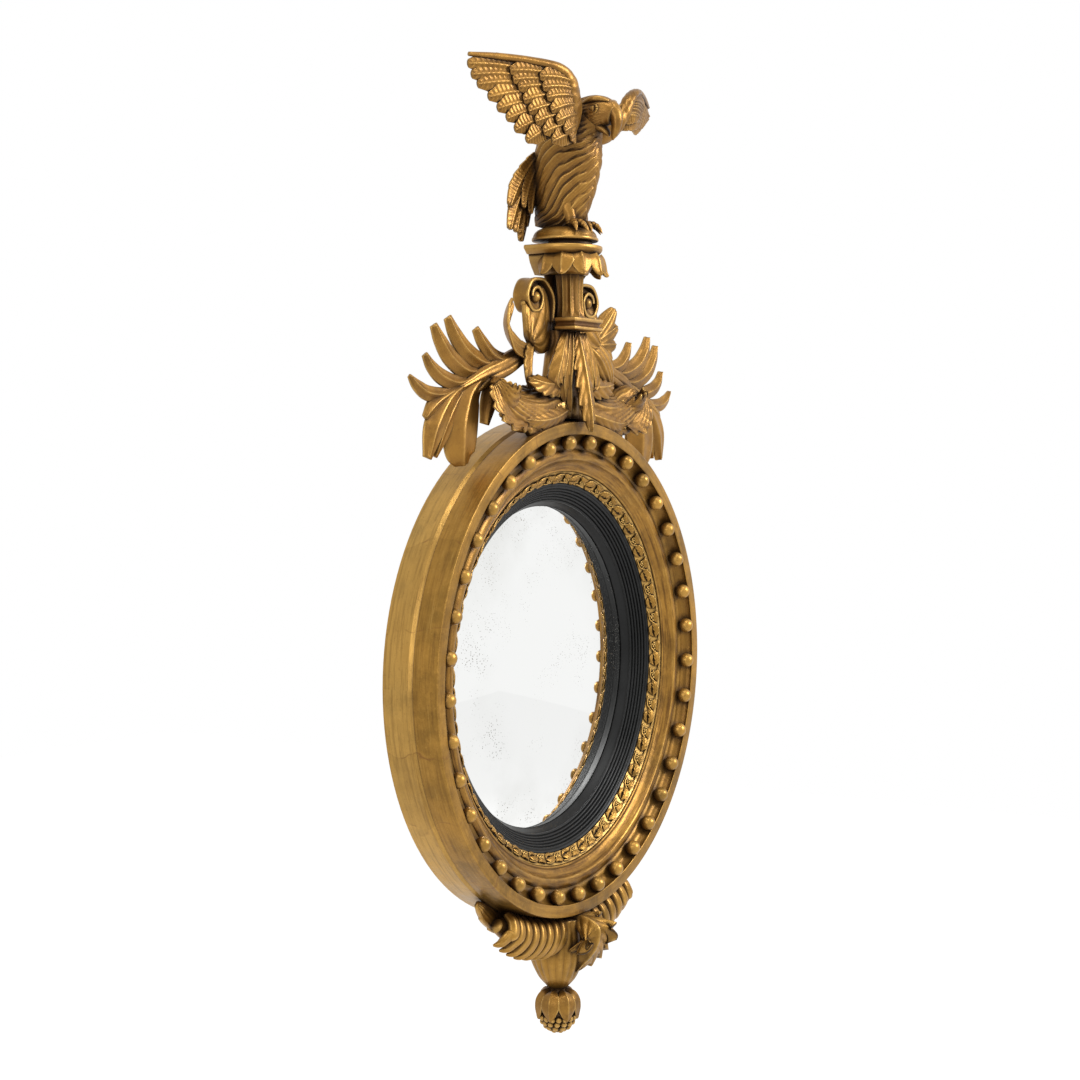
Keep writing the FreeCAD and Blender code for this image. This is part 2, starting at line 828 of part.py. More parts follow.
def volute():
    """Scroll bracket: a coiled head over an S-shaped stem that ends in shell lobes."""
    back = -size("volute_back")
    deep = size("volute_back") - size("volute_front")
    centre = Vector(-size("volute_x"), back, size("volute_height"))
    coil = Part.makeCylinder(size("volute_radius"), -deep, centre, FRONT)
    right = [Vector(-28, back, 466), Vector(-20, back, 452), Vector(-19, back, 434),
             Vector(-30, back, 414), Vector(-44, back, 398)]
    left = [Vector(-74, back, 392), Vector(-72, back, 402), Vector(-56, back, 414),
            Vector(-45, back, 426), Vector(-45, back, 450)]
    down = Part.BSplineCurve()
    down.interpolate(right)
    up = Part.BSplineCurve()
    up.interpolate(left)
    wire = Part.Wire([down.toShape(), Part.makeLine(right[-1], left[0]), up.toShape(),
                      Part.makeLine(left[-1], right[0])])
    leg = Part.Face(wire).extrude(Vector(0, deep, 0))
    sink = size("volute_sink")
    front = Vector(centre.x, -size("volute_front") + sink, centre.z)
    hollow = Part.makeCylinder(size("volute_radius") - 5, sink + 1, front, FRONT)
    eye = Part.makeCylinder(size("volute_eye"), sink + 2, front + Vector(3, 0, 0), FRONT)
    shell = Part.makeSphere(10, Vector(-62, back + deep / 2, 399))
    return joined([coil, leg, shell]).cut(hollow.cut(eye))


volute_shape = volute().cut(shaft_shape)
both_sides("volute", volute_shape)


def palm_frond():
    """Palm branch: one curved rib, five upright leaflets, six hanging leaflets."""
    thick = size("leaf_thick")
    rib = stem(at_depth(40, [(-58, 392), (-96, 392), (-150, 362), (-205, 345), (-250, 325)]),
               [5, 7, 7, 6, 4, 2.5])
    upright = [
        [(-104, 380), (-142, 384), (-165, 398), (-178, 413)],
        [(-135, 371), (-178, 378), (-215, 394), (-232, 423)],
        [(-160, 364), (-200, 366), (-236, 388), (-254, 414)],
        [(-188, 352), (-222, 354), (-258, 358), (-273, 379)],
        [(-205, 342), (-238, 336), (-272, 336), (-303, 354)],
    ]
    hanging = [
        [(-218, 336), (-242, 330), (-262, 318), (-274, 306)],
        [(-212, 340), (-240, 320), (-266, 290), (-272, 259)],
        [(-205, 340), (-225, 315), (-245, 290), (-253, 262)],
        [(-178, 350), (-196, 325), (-206, 290), (-204, 250)],
        [(-145, 362), (-150, 340), (-156, 320), (-160, 300)],
        [(-88, 388), (-90, 372), (-84, 360), (-79, 352)],
    ]
    widths = {
        "upright": [7, 13, 15, 14, 11, 5],
        "hanging": [[6, 12, 12, 9, 4], [8, 16, 19, 17, 7], [8, 12, 12, 10, 5],
                    [10, 32, 44, 40, 16], [8, 14, 16, 13, 6], [10, 18, 16, 4]],
    }
    forms = [rib]
    for points in upright:
        forms.append(blade(at_depth(36, points), widths["upright"], thick, FRONT))
    for points, shape in zip(hanging, widths["hanging"]):
        forms.append(blade(at_depth(35, points), shape, thick, FRONT))
    return joined(forms)


frond_shape = palm_frond().cut(volute_shape)
frond_shape = max(frond_shape.Solids, key=lambda solid: solid.Volume)


def fan_leaf():
    """Folded leaf that stands up beside the volute's shell."""
    spine = [Vector(-80, -46, 392), Vector(-118, -46, 400), Vector(-134, -48, 424),
             Vector(-119, -47, 448)]
    return blade(spine, [14, 24, 27, 22, 7], size("leaf_thick"), FRONT)


def acanthus_leaf():
    """Curled acanthus that springs from the foot of the shaft and turns up at its end."""
    spine = [Vector(-24, -46, 330), Vector(-72, -52, 324), Vector(-130, -58, 318),
             Vector(-170, -60, 343)]
    return blade(spine, [42, 56, 58, 54, 44, 22], 24, FRONT)


fan_shape = fan_leaf().cut(frond_shape).cut(volute_shape)
fan_shape = max(fan_shape.Solids, key=lambda solid: solid.Volume)
both_sides("fan_leaf", fan_shape)
acanthus_shape = acanthus_leaf().cut(frond_shape).cut(saddle_shape).cut(shaft_shape)
drum_and_lip = front_disc(size("drum_radius"), -1, size("lip_depth") + 40)
acanthus_shape = acanthus_shape.cut(drum_and_lip)
acanthus_shape = max(acanthus_shape.Solids, key=lambda solid: solid.Volume)
both_sides("acanthus", acanthus_shape)
both_sides("palm_frond", frond_shape)


def front_leaf():
    """Long serrated leaf from the shelf down over the front of the drum."""
    spine = [Vector(0, -66, 416), Vector(0, -70, 385), Vector(0, -82, 340), Vector(0, -88, 292)]
    widths = [12, 24, 17, 28, 20, 28, 18, 23, 12, 4]
    return blade(spine, widths, 8, FRONT, True)


def shaft_leaves():
    """Narrow leaves laid on the shaft each side of the serrated leaf."""
    leaves = []
    for side in (-1, 1):
        inner = [Vector(side * 18, -66, 412), Vector(side * 22, -68, 385),
                 Vector(side * 30, -66, 350), Vector(side * 27, -68, 325)]
        leaves.append(blade(inner, [8, 13, 15, 12, 4], 7, FRONT))
    return leaves


leaf_front = front_leaf().cut(shaft_shape).cut(saddle_shape)
feature("front_leaf", max(leaf_front.Solids, key=lambda solid: solid.Volume))
leaf_pair = []
for leaf in shaft_leaves():
    trimmed = leaf.cut(shaft_shape).cut(saddle_shape).cut(acanthus_shape)
    trimmed = trimmed.cut(mirrored(acanthus_shape)).cut(leaf_front)
    leaf_pair.append(max(trimmed.Solids, key=lambda solid: solid.Volume))
feature("shaft_leaves", Part.makeCompound(leaf_pair))

# ------------------------------------------------------------------ pendant below the drum


def bracket_outline():
    """Front view of the board behind the pendant: fits the drum, tapers to the cup."""
    drum = size("drum_radius")
    reach = 108
    top = -math.sqrt(drum ** 2 - reach ** 2)
    arc = Part.Arc(Vector(-reach, 0, top), Vector(0, 0, -drum), Vector(reach, 0, top))
    right = Part.BSplineCurve()
    right.interpolate(at_depth(0, [(reach, top), (82, -312), (52, -328), (28, -352)]))
    left = Part.BSplineCurve()
    left.interpolate(at_depth(0, [(-28, -352), (-52, -328), (-82, -312), (-reach, top)]))
    low = Part.makeLine(Vector(28, 0, -352), Vector(-28, 0, -352))
    return Part.Face(Part.Wire([arc.toShape(), right.toShape(), low, left.toShape()]))


cup_shape = turned_upright("pendant_depth", [(33, -322), (34, -345), (31, -370), (22, -390), (12, -400)])
drum_block = front_disc(size("drum_radius"), -1, size("lip_depth") + 40)
cup_shape = cup_shape.cut(drum_block)
bracket_shape = bracket_outline().extrude(Vector(0, -size("bracket_depth"), 0)).cut(cup_shape)
bracket_shape = max(bracket_shape.Solids, key=lambda solid: solid.Volume)
bud_shape = turned_upright("pendant_depth", [(10, -400), (11, -405), (25, -414), (28, -428),
                                             (24, -443), (14, -447)])


def curled_leaf():
    """Ribbed leaf rolled outward under the drum, from the cup towards the side."""
    spine = at_depth(47, [(-26, -340), (-70, -334), (-125, -326), (-170, -292)])
    roll = stem(spine, [12, 15, 15, 14, 13, 11])
    tie_leaf = blade(at_depth(42, [(-20, -330), (-60, -330), (-96, -318), (-134, -294)]),
                     [30, 34, 30, 24, 16], 16, FRONT)
    return joined([roll, tie_leaf]).cut(drum_block)


curl_shape = curled_leaf().cut(bracket_shape).cut(cup_shape)
curl_shape = max(curl_shape.Solids, key=lambda solid: solid.Volume)
both_sides("pendant_curl", curl_shape)


def pendant_leaf():
    """Serrated leaf that curls forward over the cup."""
    spine = [Vector(0, -80, -308), Vector(0, -104, -316), Vector(0, -86, -345),
             Vector(0, -66, -374)]
    return blade(spine, [20, 40, 34, 42, 30, 34, 18, 6], 9, Vector(0, -1, 0.2), True)


pendant_leaf_shape = pendant_leaf().cut(cup_shape).cut(drum_block)
feature("pendant_leaf", max(pendant_leaf_shape.Solids, key=lambda solid: solid.Volume))


def berry_cluster():
    """Cluster of berries that fills the mouth of the bud."""
    radius = size("berry_radius")
    depth = -size("pendant_depth")
    low = size("bud_bottom")
    core = Part.makeSphere(14, Vector(0, depth, low + 4))
    forms = [core]
    for ring, height, number in ((17, 2, 14), (12.5, -4, 10), (6, -7.5, 6), (0, -8.5, 1)):
        for index in range(number):
            turn = 2 * math.pi * (index + ring % 2 / 2) / number
            place = Vector(ring * math.cos(turn), depth + ring * math.sin(turn), low + height)
            forms.append(Part.makeSphere(radius, place))
    return joined(forms)


berries = berry_cluster().cut(bud_shape)
feature("berry_cluster", max(berries.Solids, key=lambda solid: solid.Volume))
feature("bud", bud_shape)

# ------------------------------------------------------------------ dowels
# Pairs of dowels join the carved crest and the carved pendant to the drum.


def drum_dowels(direction, start, length):
    found = []
    for side in (-1, 1):
        place = Vector(side * size("dowel_spread"), -size("dowel_depth"), direction * start)
        found.append(Part.makeCylinder(size("dowel_radius"), length, place,
                                       Vector(0, 0, direction)))
    return found


crest_dowels = drum_dowels(1, 290, 40)
pendant_dowels = drum_dowels(-1, 290, 40)
feature("crest_dowels", Part.makeCompound(crest_dowels))
feature("pendant_dowels", Part.makeCompound(pendant_dowels))
feature("crest_saddle", saddle_shape.cut(crest_dowels))
feature("crest_shaft", shaft_shape)
feature("fluted_column", column_shape.cut(shaft_shape))
feature("pendant_bracket", bracket_shape.cut(pendant_dowels))
feature("pendant_cup", cup_shape.cut(pendant_dowels))


def bored(base, label, cutters):
    """The turned ring with the holes and pockets that its fittings need."""
    parts.remove(base)
    base.Label = label + "_turned"
    tools = doc.addObject("Part::Feature", label + "_cutters")
    tools.Shape = Part.makeCompound(cutters)
    cut = doc.addObject("Part::Cut", label)
    cut.Base = base
    cut.Tool = tools
    return keep(cut, label)


all_pockets = [pocket_shape(side) for side in (-1, 1)]
bored(back_hoop, "back_hoop", crest_dowels + pendant_dowels + all_pockets)
bored(carcass, "carcass_ring", board_screws + all_strap_screws + all_pockets)

# ------------------------------------------------------------------ checks and files

doc.recompute()
for item in doc.Objects:
    wrong = [state for state in item.State if state in ("Invalid", "Error")]
    if wrong:
        raise RuntimeError("%s: %s" % (item.Label, wrong))
for item in parts:
    if item.Shape.isNull() or not item.Shape.isValid():
        raise RuntimeError(item.Label + " has no valid shape")

os.makedirs("parts", exist_ok=True)
for item in parts:
    solids = item.Shape.Solids
    print("%-20s solids %2d  volume %10.0f" % (item.Label, len(solids), item.Shape.Volume))
    item.Shape.exportStep("parts/" + item.Label + ".step")
print(len(parts), "sub-parts")
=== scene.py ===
import bmesh
import bpy
import math
import numpy as np
from mathutils import Matrix, Vector


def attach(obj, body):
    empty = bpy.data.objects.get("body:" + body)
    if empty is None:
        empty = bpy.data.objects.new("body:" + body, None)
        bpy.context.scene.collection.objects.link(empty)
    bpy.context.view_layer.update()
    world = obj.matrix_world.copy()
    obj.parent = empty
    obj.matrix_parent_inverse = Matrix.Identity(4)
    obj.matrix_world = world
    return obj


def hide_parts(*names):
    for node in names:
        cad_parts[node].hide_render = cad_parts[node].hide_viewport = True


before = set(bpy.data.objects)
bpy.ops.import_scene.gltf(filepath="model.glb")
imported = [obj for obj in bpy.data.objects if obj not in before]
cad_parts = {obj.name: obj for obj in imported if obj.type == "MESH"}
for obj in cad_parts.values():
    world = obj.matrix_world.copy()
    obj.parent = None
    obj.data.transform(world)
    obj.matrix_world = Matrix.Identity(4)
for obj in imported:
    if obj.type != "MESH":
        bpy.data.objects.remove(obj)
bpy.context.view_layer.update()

# ---------------------------------------------------------------- drum: hoops, cove and ogee
# The round frame is a deep drum of glued pine rings, turned on a lathe, coated with gesso and
# yellow bole and water gilded in laid leaves that overlap a little. The back hoop and the
# front hoop meet at a small step; the front one has a flat lip and a hollow for the balls.


def mesh_piece(name, points, faces, smooth=True):
    """A mesh object from points in millimetres: across, depth out from the wall, height."""
    flat = np.asarray(points, float).reshape(-1, 3)
    placed = np.column_stack([flat[:, 0], -flat[:, 1], flat[:, 2]]) * 0.001
    mesh = bpy.data.meshes.new(name)
    mesh.from_pydata(placed.tolist(), [], faces)
    mesh.validate()
    mesh.polygons.foreach_set("use_smooth", [smooth] * len(mesh.polygons))
    piece = bpy.data.objects.new(name, mesh)
    bpy.context.scene.collection.objects.link(piece)
    return piece


def outward(piece):
    """Turn every face of a closed piece outwards."""
    shape = bmesh.new()
    shape.from_mesh(piece.data)
    bmesh.ops.recalc_face_normals(shape, faces=shape.faces)
    shape.to_mesh(piece.data)
    shape.free()
    return piece


def eased(corners, radius, steps=4):
    """A closed (radius, depth) outline with its sharp corners rounded."""
    points = [np.array(corner, float) for corner in corners]
    line = []
    for index, corner in enumerate(points):
        before = points[index - 1] - corner
        after = points[(index + 1) % len(points)] - corner
        reach_before = np.linalg.norm(before)
        reach_after = np.linalg.norm(after)
        turn = np.dot(before, after) / (reach_before * reach_after)
        reach = min(radius, reach_before * 0.45, reach_after * 0.45)
        if turn < -0.9:  # almost straight on
            line.append(corner)
            continue
        start = corner + before / reach_before * reach
        finish = corner + after / reach_after * reach
        for step in range(steps + 1):
            at = step / steps
            line.append(start * (1 - at) ** 2 + corner * 2 * at * (1 - at) + finish * at ** 2)
    return line


def arc(start, finish, radius, side, steps=10):
    """Points of an arc between two corners, without its last point."""
    start = np.array(start, float)
    finish = np.array(finish, float)
    chord = finish - start
    half = np.linalg.norm(chord) / 2
    left = np.array([-chord[1], chord[0]]) / (2 * half)
    centre = (start + finish) / 2 - left * side * math.sqrt(radius ** 2 - half ** 2)
    first = math.atan2(*(start - centre)[::-1])
    last = math.atan2(*(finish - centre)[::-1])
    sweep = (last - first + math.pi) % (2 * math.pi) - math.pi
    return [centre + radius * np.array([math.cos(first + sweep * k / steps),
        math.sin(first + sweep * k / steps)]) for k in range(steps)]


def once_round(count):
    """Even turns once round, in radians."""
    return np.linspace(0, 2 * math.pi, count, endpoint=False)


def skin(rows, columns, start=0, loop=False):
    """Faces that join closed rings in order; the last meets the first, or both get a cap."""
    grid = start + np.arange(rows * columns).reshape(rows, columns)
    grid = np.vstack([grid, grid[:1]]) if loop else grid
    ahead = np.roll(grid, -1, axis=1)
    faces = np.stack([grid[:-1], ahead[:-1], ahead[1:], grid[1:]], axis=-1).reshape(-1, 4).tolist()
    return faces if loop else faces + [grid[0, ::-1].tolist(), grid[-1].tolist()]


def turned(name, outline, segments=384):
    """A ring turned round the axis through the glass from its closed outline."""
    radius, depth = np.array(outline).T
    turns = once_round(segments)
    points = np.stack([np.outer(np.cos(turns), radius), np.tile(depth, (segments, 1)),
        np.outer(np.sin(turns), radius)], axis=-1)
    return outward(mesh_piece(name, points, skin(segments, len(radius), loop=True)))


class Nodes:
    """A node tree being built; inputs are set or linked by name, or by number as _0, _1."""

    def __init__(self, tree):
        self.nodes, self.links = tree.nodes, tree.links

    def set(self, socket, value):
        if isinstance(value, bpy.types.NodeSocket):
            self.links.new(value, socket)
        else:
            socket.default_value = value

    def add(self, kind, settings=None, **values):
        node = self.nodes.new(kind)
        for key, value in (settings or {}).items():
            setattr(node, key, value)
        for key, value in values.items():
            self.set(node.inputs[int(key[1:]) if key[0] == "_" else key.replace("_", " ")], value)
        return node

    def sum(self, operation, first, second=0.0, third=0.0):
        return self.add("ShaderNodeMath", {"operation": operation}, _0=first, _1=second,
            _2=third).outputs[0]

    def spread(self, value, low, high, start=0.0, end=1.0):
        return self.add("ShaderNodeMapRange", {"clamp": True}, _0=value, _1=low, _2=high, _3=start,
            _4=end).outputs[0]


class Finish(Nodes):
    """A material being built."""

    def __init__(self, name):
        self.material = bpy.data.materials.new(name)
        self.material.use_nodes = True
        super().__init__(self.material.node_tree)
        self.shader = self.nodes["Principled BSDF"]
        self.place = self.nodes.new("ShaderNodeTexCoord").outputs["Object"]

    def noise(self, scale, detail=4.0, rough=0.55, place=None, stretch=None):
        place = place or self.place
        if stretch:
            place = self.add("ShaderNodeMapping", Vector=place, Scale=stretch).outputs[0]
        return self.add("ShaderNodeTexNoise", Vector=place, Scale=scale, Detail=detail,
            Roughness=rough).outputs[0]

    def blend(self, share, under, over):
        return self.add("ShaderNodeMix", {"data_type": "RGBA"}, _0=share, _6=under,
            _7=over).outputs[2]

    def hollows(self, reach):
        """How open each spot is: 1 on the flat, less in hollows up to the reach across."""
        return self.add("ShaderNodeAmbientOcclusion", {"samples": 8}, Distance=reach).outputs["AO"]

    def bump(self, strength, distance, height):
        return self.add("ShaderNodeBump", Strength=strength, Distance=distance,
            Height=height).outputs[0]

    def around(self):
        """Each spot's distance out from the wall, and its turn and radius about the glass."""
        x, out, z = self.add("ShaderNodeSeparateXYZ", Vector=self.place).outputs
        squares = self.sum("ADD", self.sum("MULTIPLY", x, x), self.sum("MULTIPLY", z, z))
        return out, self.sum("ARCTAN2", z, x), self.sum("SQRT", squares)

    def connect(self, **sockets):
        for key, value in sockets.items():
            self.set(self.shader.inputs[key.replace("_", " ")], value)
        return self.material


GOLD = (0.44, 0.225, 0.038, 1)
PALE_GOLD = (0.86, 0.53, 0.15, 1)
OLIVE_GOLD = (0.185, 0.098, 0.017, 1)
# a dark brown used as a real glaze and stain, and as painted shade in the broad hollows of the
# gilding
BROWN_GLAZE_AND_SHADE = (0.085, 0.034, 0.007, 1)
RUBBED_BOLE = (0.17, 0.065, 0.020, 1)
# near black used as painted shade in the crevices and creases of the gilding
HOLLOW_SHADE = (0.030, 0.0135, 0.004, 1)


def gilding(name, hollow=0.010, shade_strength=1.0, edge_light_and_shade=1.0, laps=False, streaks=0.0, glow=0.0, worn=0.0):
    """Old water gilding: leaf tones, speckle, rubbed edges with a painted highlight, and painted
    shade in the hollows and creases.
    """
    coat = Finish(name)
    broad = coat.noise(9, 4)
    patch = coat.noise(46, 5, 0.64)
    speck = coat.noise(420, 3, 0.6)
    tone = coat.blend(coat.spread(broad, 0.38, 0.64), OLIVE_GOLD, GOLD)
    tone = coat.blend(coat.spread(patch, 0.40, 0.66, 0.0, 0.8), tone, GOLD)
    if glow:
        tone = coat.blend(glow, tone, PALE_GOLD)
    if worn:
        tone = coat.blend(coat.spread(patch, 0.35, 0.7, worn, 0.5 * worn), tone, RUBBED_BOLE)
    edge = coat.add("ShaderNodeNewGeometry").outputs["Pointiness"]
    edge = coat.sum("ADD", edge, coat.sum("MULTIPLY", coat.sum("SUBTRACT", patch, 0.5), 0.06))
    # painted highlight: sharp edges and crests turn paler gold, partly rubbed wear and partly a
    # painted highlight
    tone = coat.blend(coat.spread(edge, 0.515, 0.60, 0.0, 0.85 * edge_light_and_shade), tone, PALE_GOLD)
    tone = coat.blend(coat.spread(speck, 0.62, 0.74, 0.0, 0.22), tone, PALE_GOLD)
    tone = coat.blend(coat.spread(speck, 0.26, 0.40, 0.45, 0.0), tone, RUBBED_BOLE)
    if laps:
        # each leaf is a band wide and about a hand long; a lap shows as a change of tone
        out, turn, radius = coat.around()
        wander = coat.sum("MULTIPLY", coat.sum("SUBTRACT", coat.noise(11, 3), 0.5), 0.9)
        sheet = coat.sum("ADD", coat.sum("MULTIPLY", turn, 3.1), wander)
        step = coat.sum("FLOOR", coat.sum("MULTIPLY_ADD", out, 21.0, wander))
        chance = coat.add("ShaderNodeTexWhiteNoise", {"noise_dimensions": "2D"},
            Vector=coat.add("ShaderNodeCombineXYZ", X=coat.sum("FLOOR", sheet), Y=step).outputs[0])
        tone = coat.blend(coat.spread(chance.outputs["Value"], 0.0, 1.0, 0.0, 0.30), tone,
            OLIVE_GOLD)
        line = coat.sum("ABSOLUTE", coat.sum("SUBTRACT", coat.sum("FRACT", sheet), 0.5))
        line = coat.sum("MULTIPLY", coat.spread(line, 0.484, 0.499, 0.0, 0.6),
            coat.spread(patch, 0.45, 0.6))
        tone = coat.blend(line, tone, RUBBED_BOLE)
    if streaks:
        # burnishing and wear run round the turned rings
        out, turn, radius = coat.around()
        ringed = coat.add("ShaderNodeCombineXYZ", X=coat.sum("MULTIPLY", radius, 260.0),
            Y=coat.sum("MULTIPLY", out, 260.0), Z=coat.sum("MULTIPLY", turn, 5.0)).outputs[0]
        brush = coat.noise(1.0, 5, 0.65, place=ringed)
        tone = coat.blend(coat.spread(brush, 0.36, 0.52, streaks, 0.0), tone, BROWN_GLAZE_AND_SHADE)
        tone = coat.blend(coat.spread(brush, 0.60, 0.74, 0.0, 0.6 * streaks), tone, PALE_GOLD)
    # painted shade: a broad dark brown in the wide hollows
    tone = coat.blend(coat.spread(coat.hollows(4 * hollow), 0.30, 0.97, 0.90, 0.0), tone,
        BROWN_GLAZE_AND_SHADE)
    # painted shade: near black in the narrow hollows and creases, where the gilding also turns less
    # metallic and rougher
    painted_shade = coat.spread(coat.hollows(hollow), 0.40, 0.94, 1.0, 0.0)
    painted_shade = coat.sum("MULTIPLY", painted_shade, coat.spread(patch, 0.25, 0.7, 0.7, 1.2))
    crease = coat.spread(edge, 0.41, 0.49, 1.0, 0.0)
    painted_shade = coat.sum("MULTIPLY", coat.sum("MAXIMUM", painted_shade, coat.sum("MULTIPLY", crease, edge_light_and_shade)), shade_strength)
    painted_shade = coat.spread(painted_shade, 0.0, 1.0, 0.0, 0.94)
    tone = coat.blend(painted_shade, tone, HOLLOW_SHADE)
    rough = coat.sum("ADD", coat.spread(patch, 0.3, 0.7, 0.29, 0.44),
        coat.sum("MULTIPLY", painted_shade, 0.25))
    relief = coat.sum("ADD", patch, coat.sum("MULTIPLY", speck, 0.16))
    return coat.connect(Base_Color=tone, Metallic=coat.spread(painted_shade, 0.1, 0.9, 0.55, 0.05),
        Roughness=rough, Specular_IOR_Level=0.25, Normal=coat.bump(0.6, 0.0012, relief))


def finished(piece, material, *nodes, slot="gilt_wood", body="frame"):
    """Give a piece its finish, let it ride, and let it stand for its solids."""
    piece.data.materials.clear()
    piece.data.materials.append(material)
    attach(piece, body)
    if nodes:
        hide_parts(*nodes)
    return piece


def coated(material, *nodes):
    """Solids that stay as they are and get a better finish."""
    for node in nodes:
        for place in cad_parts[node].material_slots:
            place.material = material


drum_gilding = gilding("drum_gilding", hollow=0.009, shade_strength=0.7, edge_light_and_shade=0.5, laps=True, streaks=0.34)
ogee_gilding = gilding("ogee_gilding", hollow=0.009, shade_strength=0.9, edge_light_and_shade=0.6, streaks=0.75, worn=0.16)
coated(drum_gilding, "back_hoop")
front_outline = eased([(271.6, 40.5), (307.6, 40.5), (305, 73), (290.4, 73)], 1.1)
front_outline += arc((290.2, 72.2), (281, 60.2), 10.6, 1) + [(280.6, 60), (271.6, 60)]
finished(turned("front_hoop_gilt", front_outline), drum_gilding, "front_hoop")
ogee_outline = [(244.4, 12), (271.5, 12)]
ogee_outline += arc((271.5, 60), (259.4, 62), 12, -1) + arc((259, 61.7), (248.3, 51.4), 20, 1)
ogee_outline += arc((248, 51.3), (244.4, 50.3), 1.95, -1, 8) + [(244.4, 49.2)]
finished(turned("ogee_gilt", ogee_outline), ogee_gilding, "ogee_moulding")

# ---------------------------------------------------------------- glass and its black slip
# The glass is a blown dome, silvered behind, with the fine dark specks that old silvering
# gets. A turned slip, reeded and stained black over shellac, holds it against the rebate.

slip_line = [(201.1, 12.0), (201.1, 12.6), (201.8, 13.2)]
slip_line += [(203.6, 16.4), (205.4, 19.0), (206.4, 20.6), (206.9, 21.3)]
reed_start = np.array([207.3, 21.6])
reed_end = np.array([226.4, 37.4])
REEDS = 6
reed_step = (reed_end - reed_start) / REEDS
reed_out = np.array([-reed_step[1], reed_step[0]]) / np.linalg.norm(reed_step)
for reed in range(REEDS):
    for step in range(8):
        along = step / 8
        rise = 1.7 * math.sin(math.pi * along) ** 0.75
        slip_line.append(tuple(reed_start + reed_step * (reed + along) + reed_out * rise))
slip_line += [tuple(reed_end), (227.0, 38.6), (229.6, 39.6), (230.1, 39.4), (230.1, 12.0)]
ebony = Finish("ebonised_slip")
haze = ebony.noise(24, 5, 0.6)
grain = ebony.noise(300, 3, 0.6)
jet = ebony.blend(ebony.spread(haze, 0.35, 0.75), (0.0030, 0.0031, 0.0030, 1),
    (0.0085, 0.0088, 0.0085, 1))
# painted shade: the sheen is turned down in the hollows between the reeds
ebony.connect(Base_Color=jet, Roughness=ebony.spread(haze, 0.3, 0.7, 0.34, 0.46),
    Specular_IOR_Level=ebony.spread(ebony.hollows(0.003), 0.66, 0.98, 0.0, 0.26),
    Normal=ebony.bump(0.25, 0.0006, ebony.sum("ADD", haze, ebony.sum("MULTIPLY", grain, 0.3))))
finished(turned("reeded_slip_black", slip_line, 448), ebony.material, "reeded_slip",
    slot="black_slip")

GLASS_RADIUS = 206.5
GLASS_THICK = 3.0
EDGE_DEPTH = 7.8
DOME_RISE = 19.0
DOME_HALF = 207
FRONT_RINGS = 90
dome_ball = (DOME_HALF ** 2 + DOME_RISE ** 2) / (2 * DOME_RISE)
rings = np.concatenate([np.linspace(0.4, GLASS_RADIUS, FRONT_RINGS),
    np.linspace(GLASS_RADIUS, 0.4, 24)])
drop = dome_ball - np.sqrt(dome_ball ** 2 - rings ** 2)
depths = EDGE_DEPTH + DOME_RISE - drop
depths[:FRONT_RINGS] += GLASS_THICK
turns = once_round(256)
dome = np.stack([np.outer(rings, np.cos(turns)), np.tile(depths[:, None], (1, 256)),
    np.outer(rings, np.sin(turns))], axis=-1)
glass = outward(mesh_piece("domed_glass", dome, skin(len(rings), 256)))
silver = Finish("old_silvering")
centre_distance = silver.add("ShaderNodeVectorMath", {"operation": "LENGTH"},
    _0=silver.place).outputs["Value"]
rim = silver.spread(centre_distance, 0.10, 0.205)
cloud = silver.noise(9, 4, 0.6)
speck_cells = silver.add("ShaderNodeTexVoronoi", Vector=silver.place, Scale=330.0,
    Randomness=1.0).outputs["Distance"]
speck_size = silver.spread(silver.noise(17, 4), 0.44, 0.66, 0.03, 0.30)
speck_size = silver.sum("MULTIPLY", speck_size, silver.spread(rim, 0.0, 1.0, 0.75, 1.2))
specks = silver.spread(silver.sum("SUBTRACT", speck_size, speck_cells), 0.0, 0.05, 0.0, 0.85)
fine_cells = silver.add("ShaderNodeTexVoronoi", Vector=silver.place, Scale=760.0,
    Randomness=1.0).outputs["Distance"]
fine = silver.spread(silver.sum("SUBTRACT", silver.spread(cloud, 0.5, 0.75, 0.0, 0.2), fine_cells),
    0.0, 0.06, 0.0, 0.6)
dulled = silver.sum("MULTIPLY_ADD", rim, silver.spread(cloud, 0.42, 0.7, 0.0, 0.5), 0.05)
tarnish = silver.blend(dulled, (0.93, 0.935, 0.925, 1), (0.64, 0.64, 0.61, 1))
tarnish = silver.blend(silver.sum("MAXIMUM", specks, fine), tarnish, (0.16, 0.15, 0.13, 1))
silver.connect(Base_Color=tarnish, Metallic=1.0,
    Roughness=silver.spread(specks, 0.0, 1.0, 0.025, 0.5))
finished(glass, silver.material, "mirror_glass", slot="mirror_glass")

# ---------------------------------------------------------------- balls in the cove
# Small turned wooden balls, gilded one by one and glued to the floor of the cove at even
# steps, one of them at the very bottom.


def tree(name, **inputs):
    """A Geometry Nodes tree with a mesh in, a mesh out and the named inputs."""
    group = bpy.data.node_groups.new(name, "GeometryNodeTree")
    face = group.interface
    face.new_socket("Geometry", in_out="INPUT", socket_type="NodeSocketGeometry")
    face.new_socket("Geometry", in_out="OUTPUT", socket_type="NodeSocketGeometry")
    kinds = {int: "NodeSocketInt", float: "NodeSocketFloat"}
    for key, value in inputs.items():
        kind = kinds.get(type(value), "NodeSocketMaterial")
        kind = "NodeSocketObject" if isinstance(value, bpy.types.Object) else kind
        face.new_socket(key, in_out="INPUT", socket_type=kind)
    return group


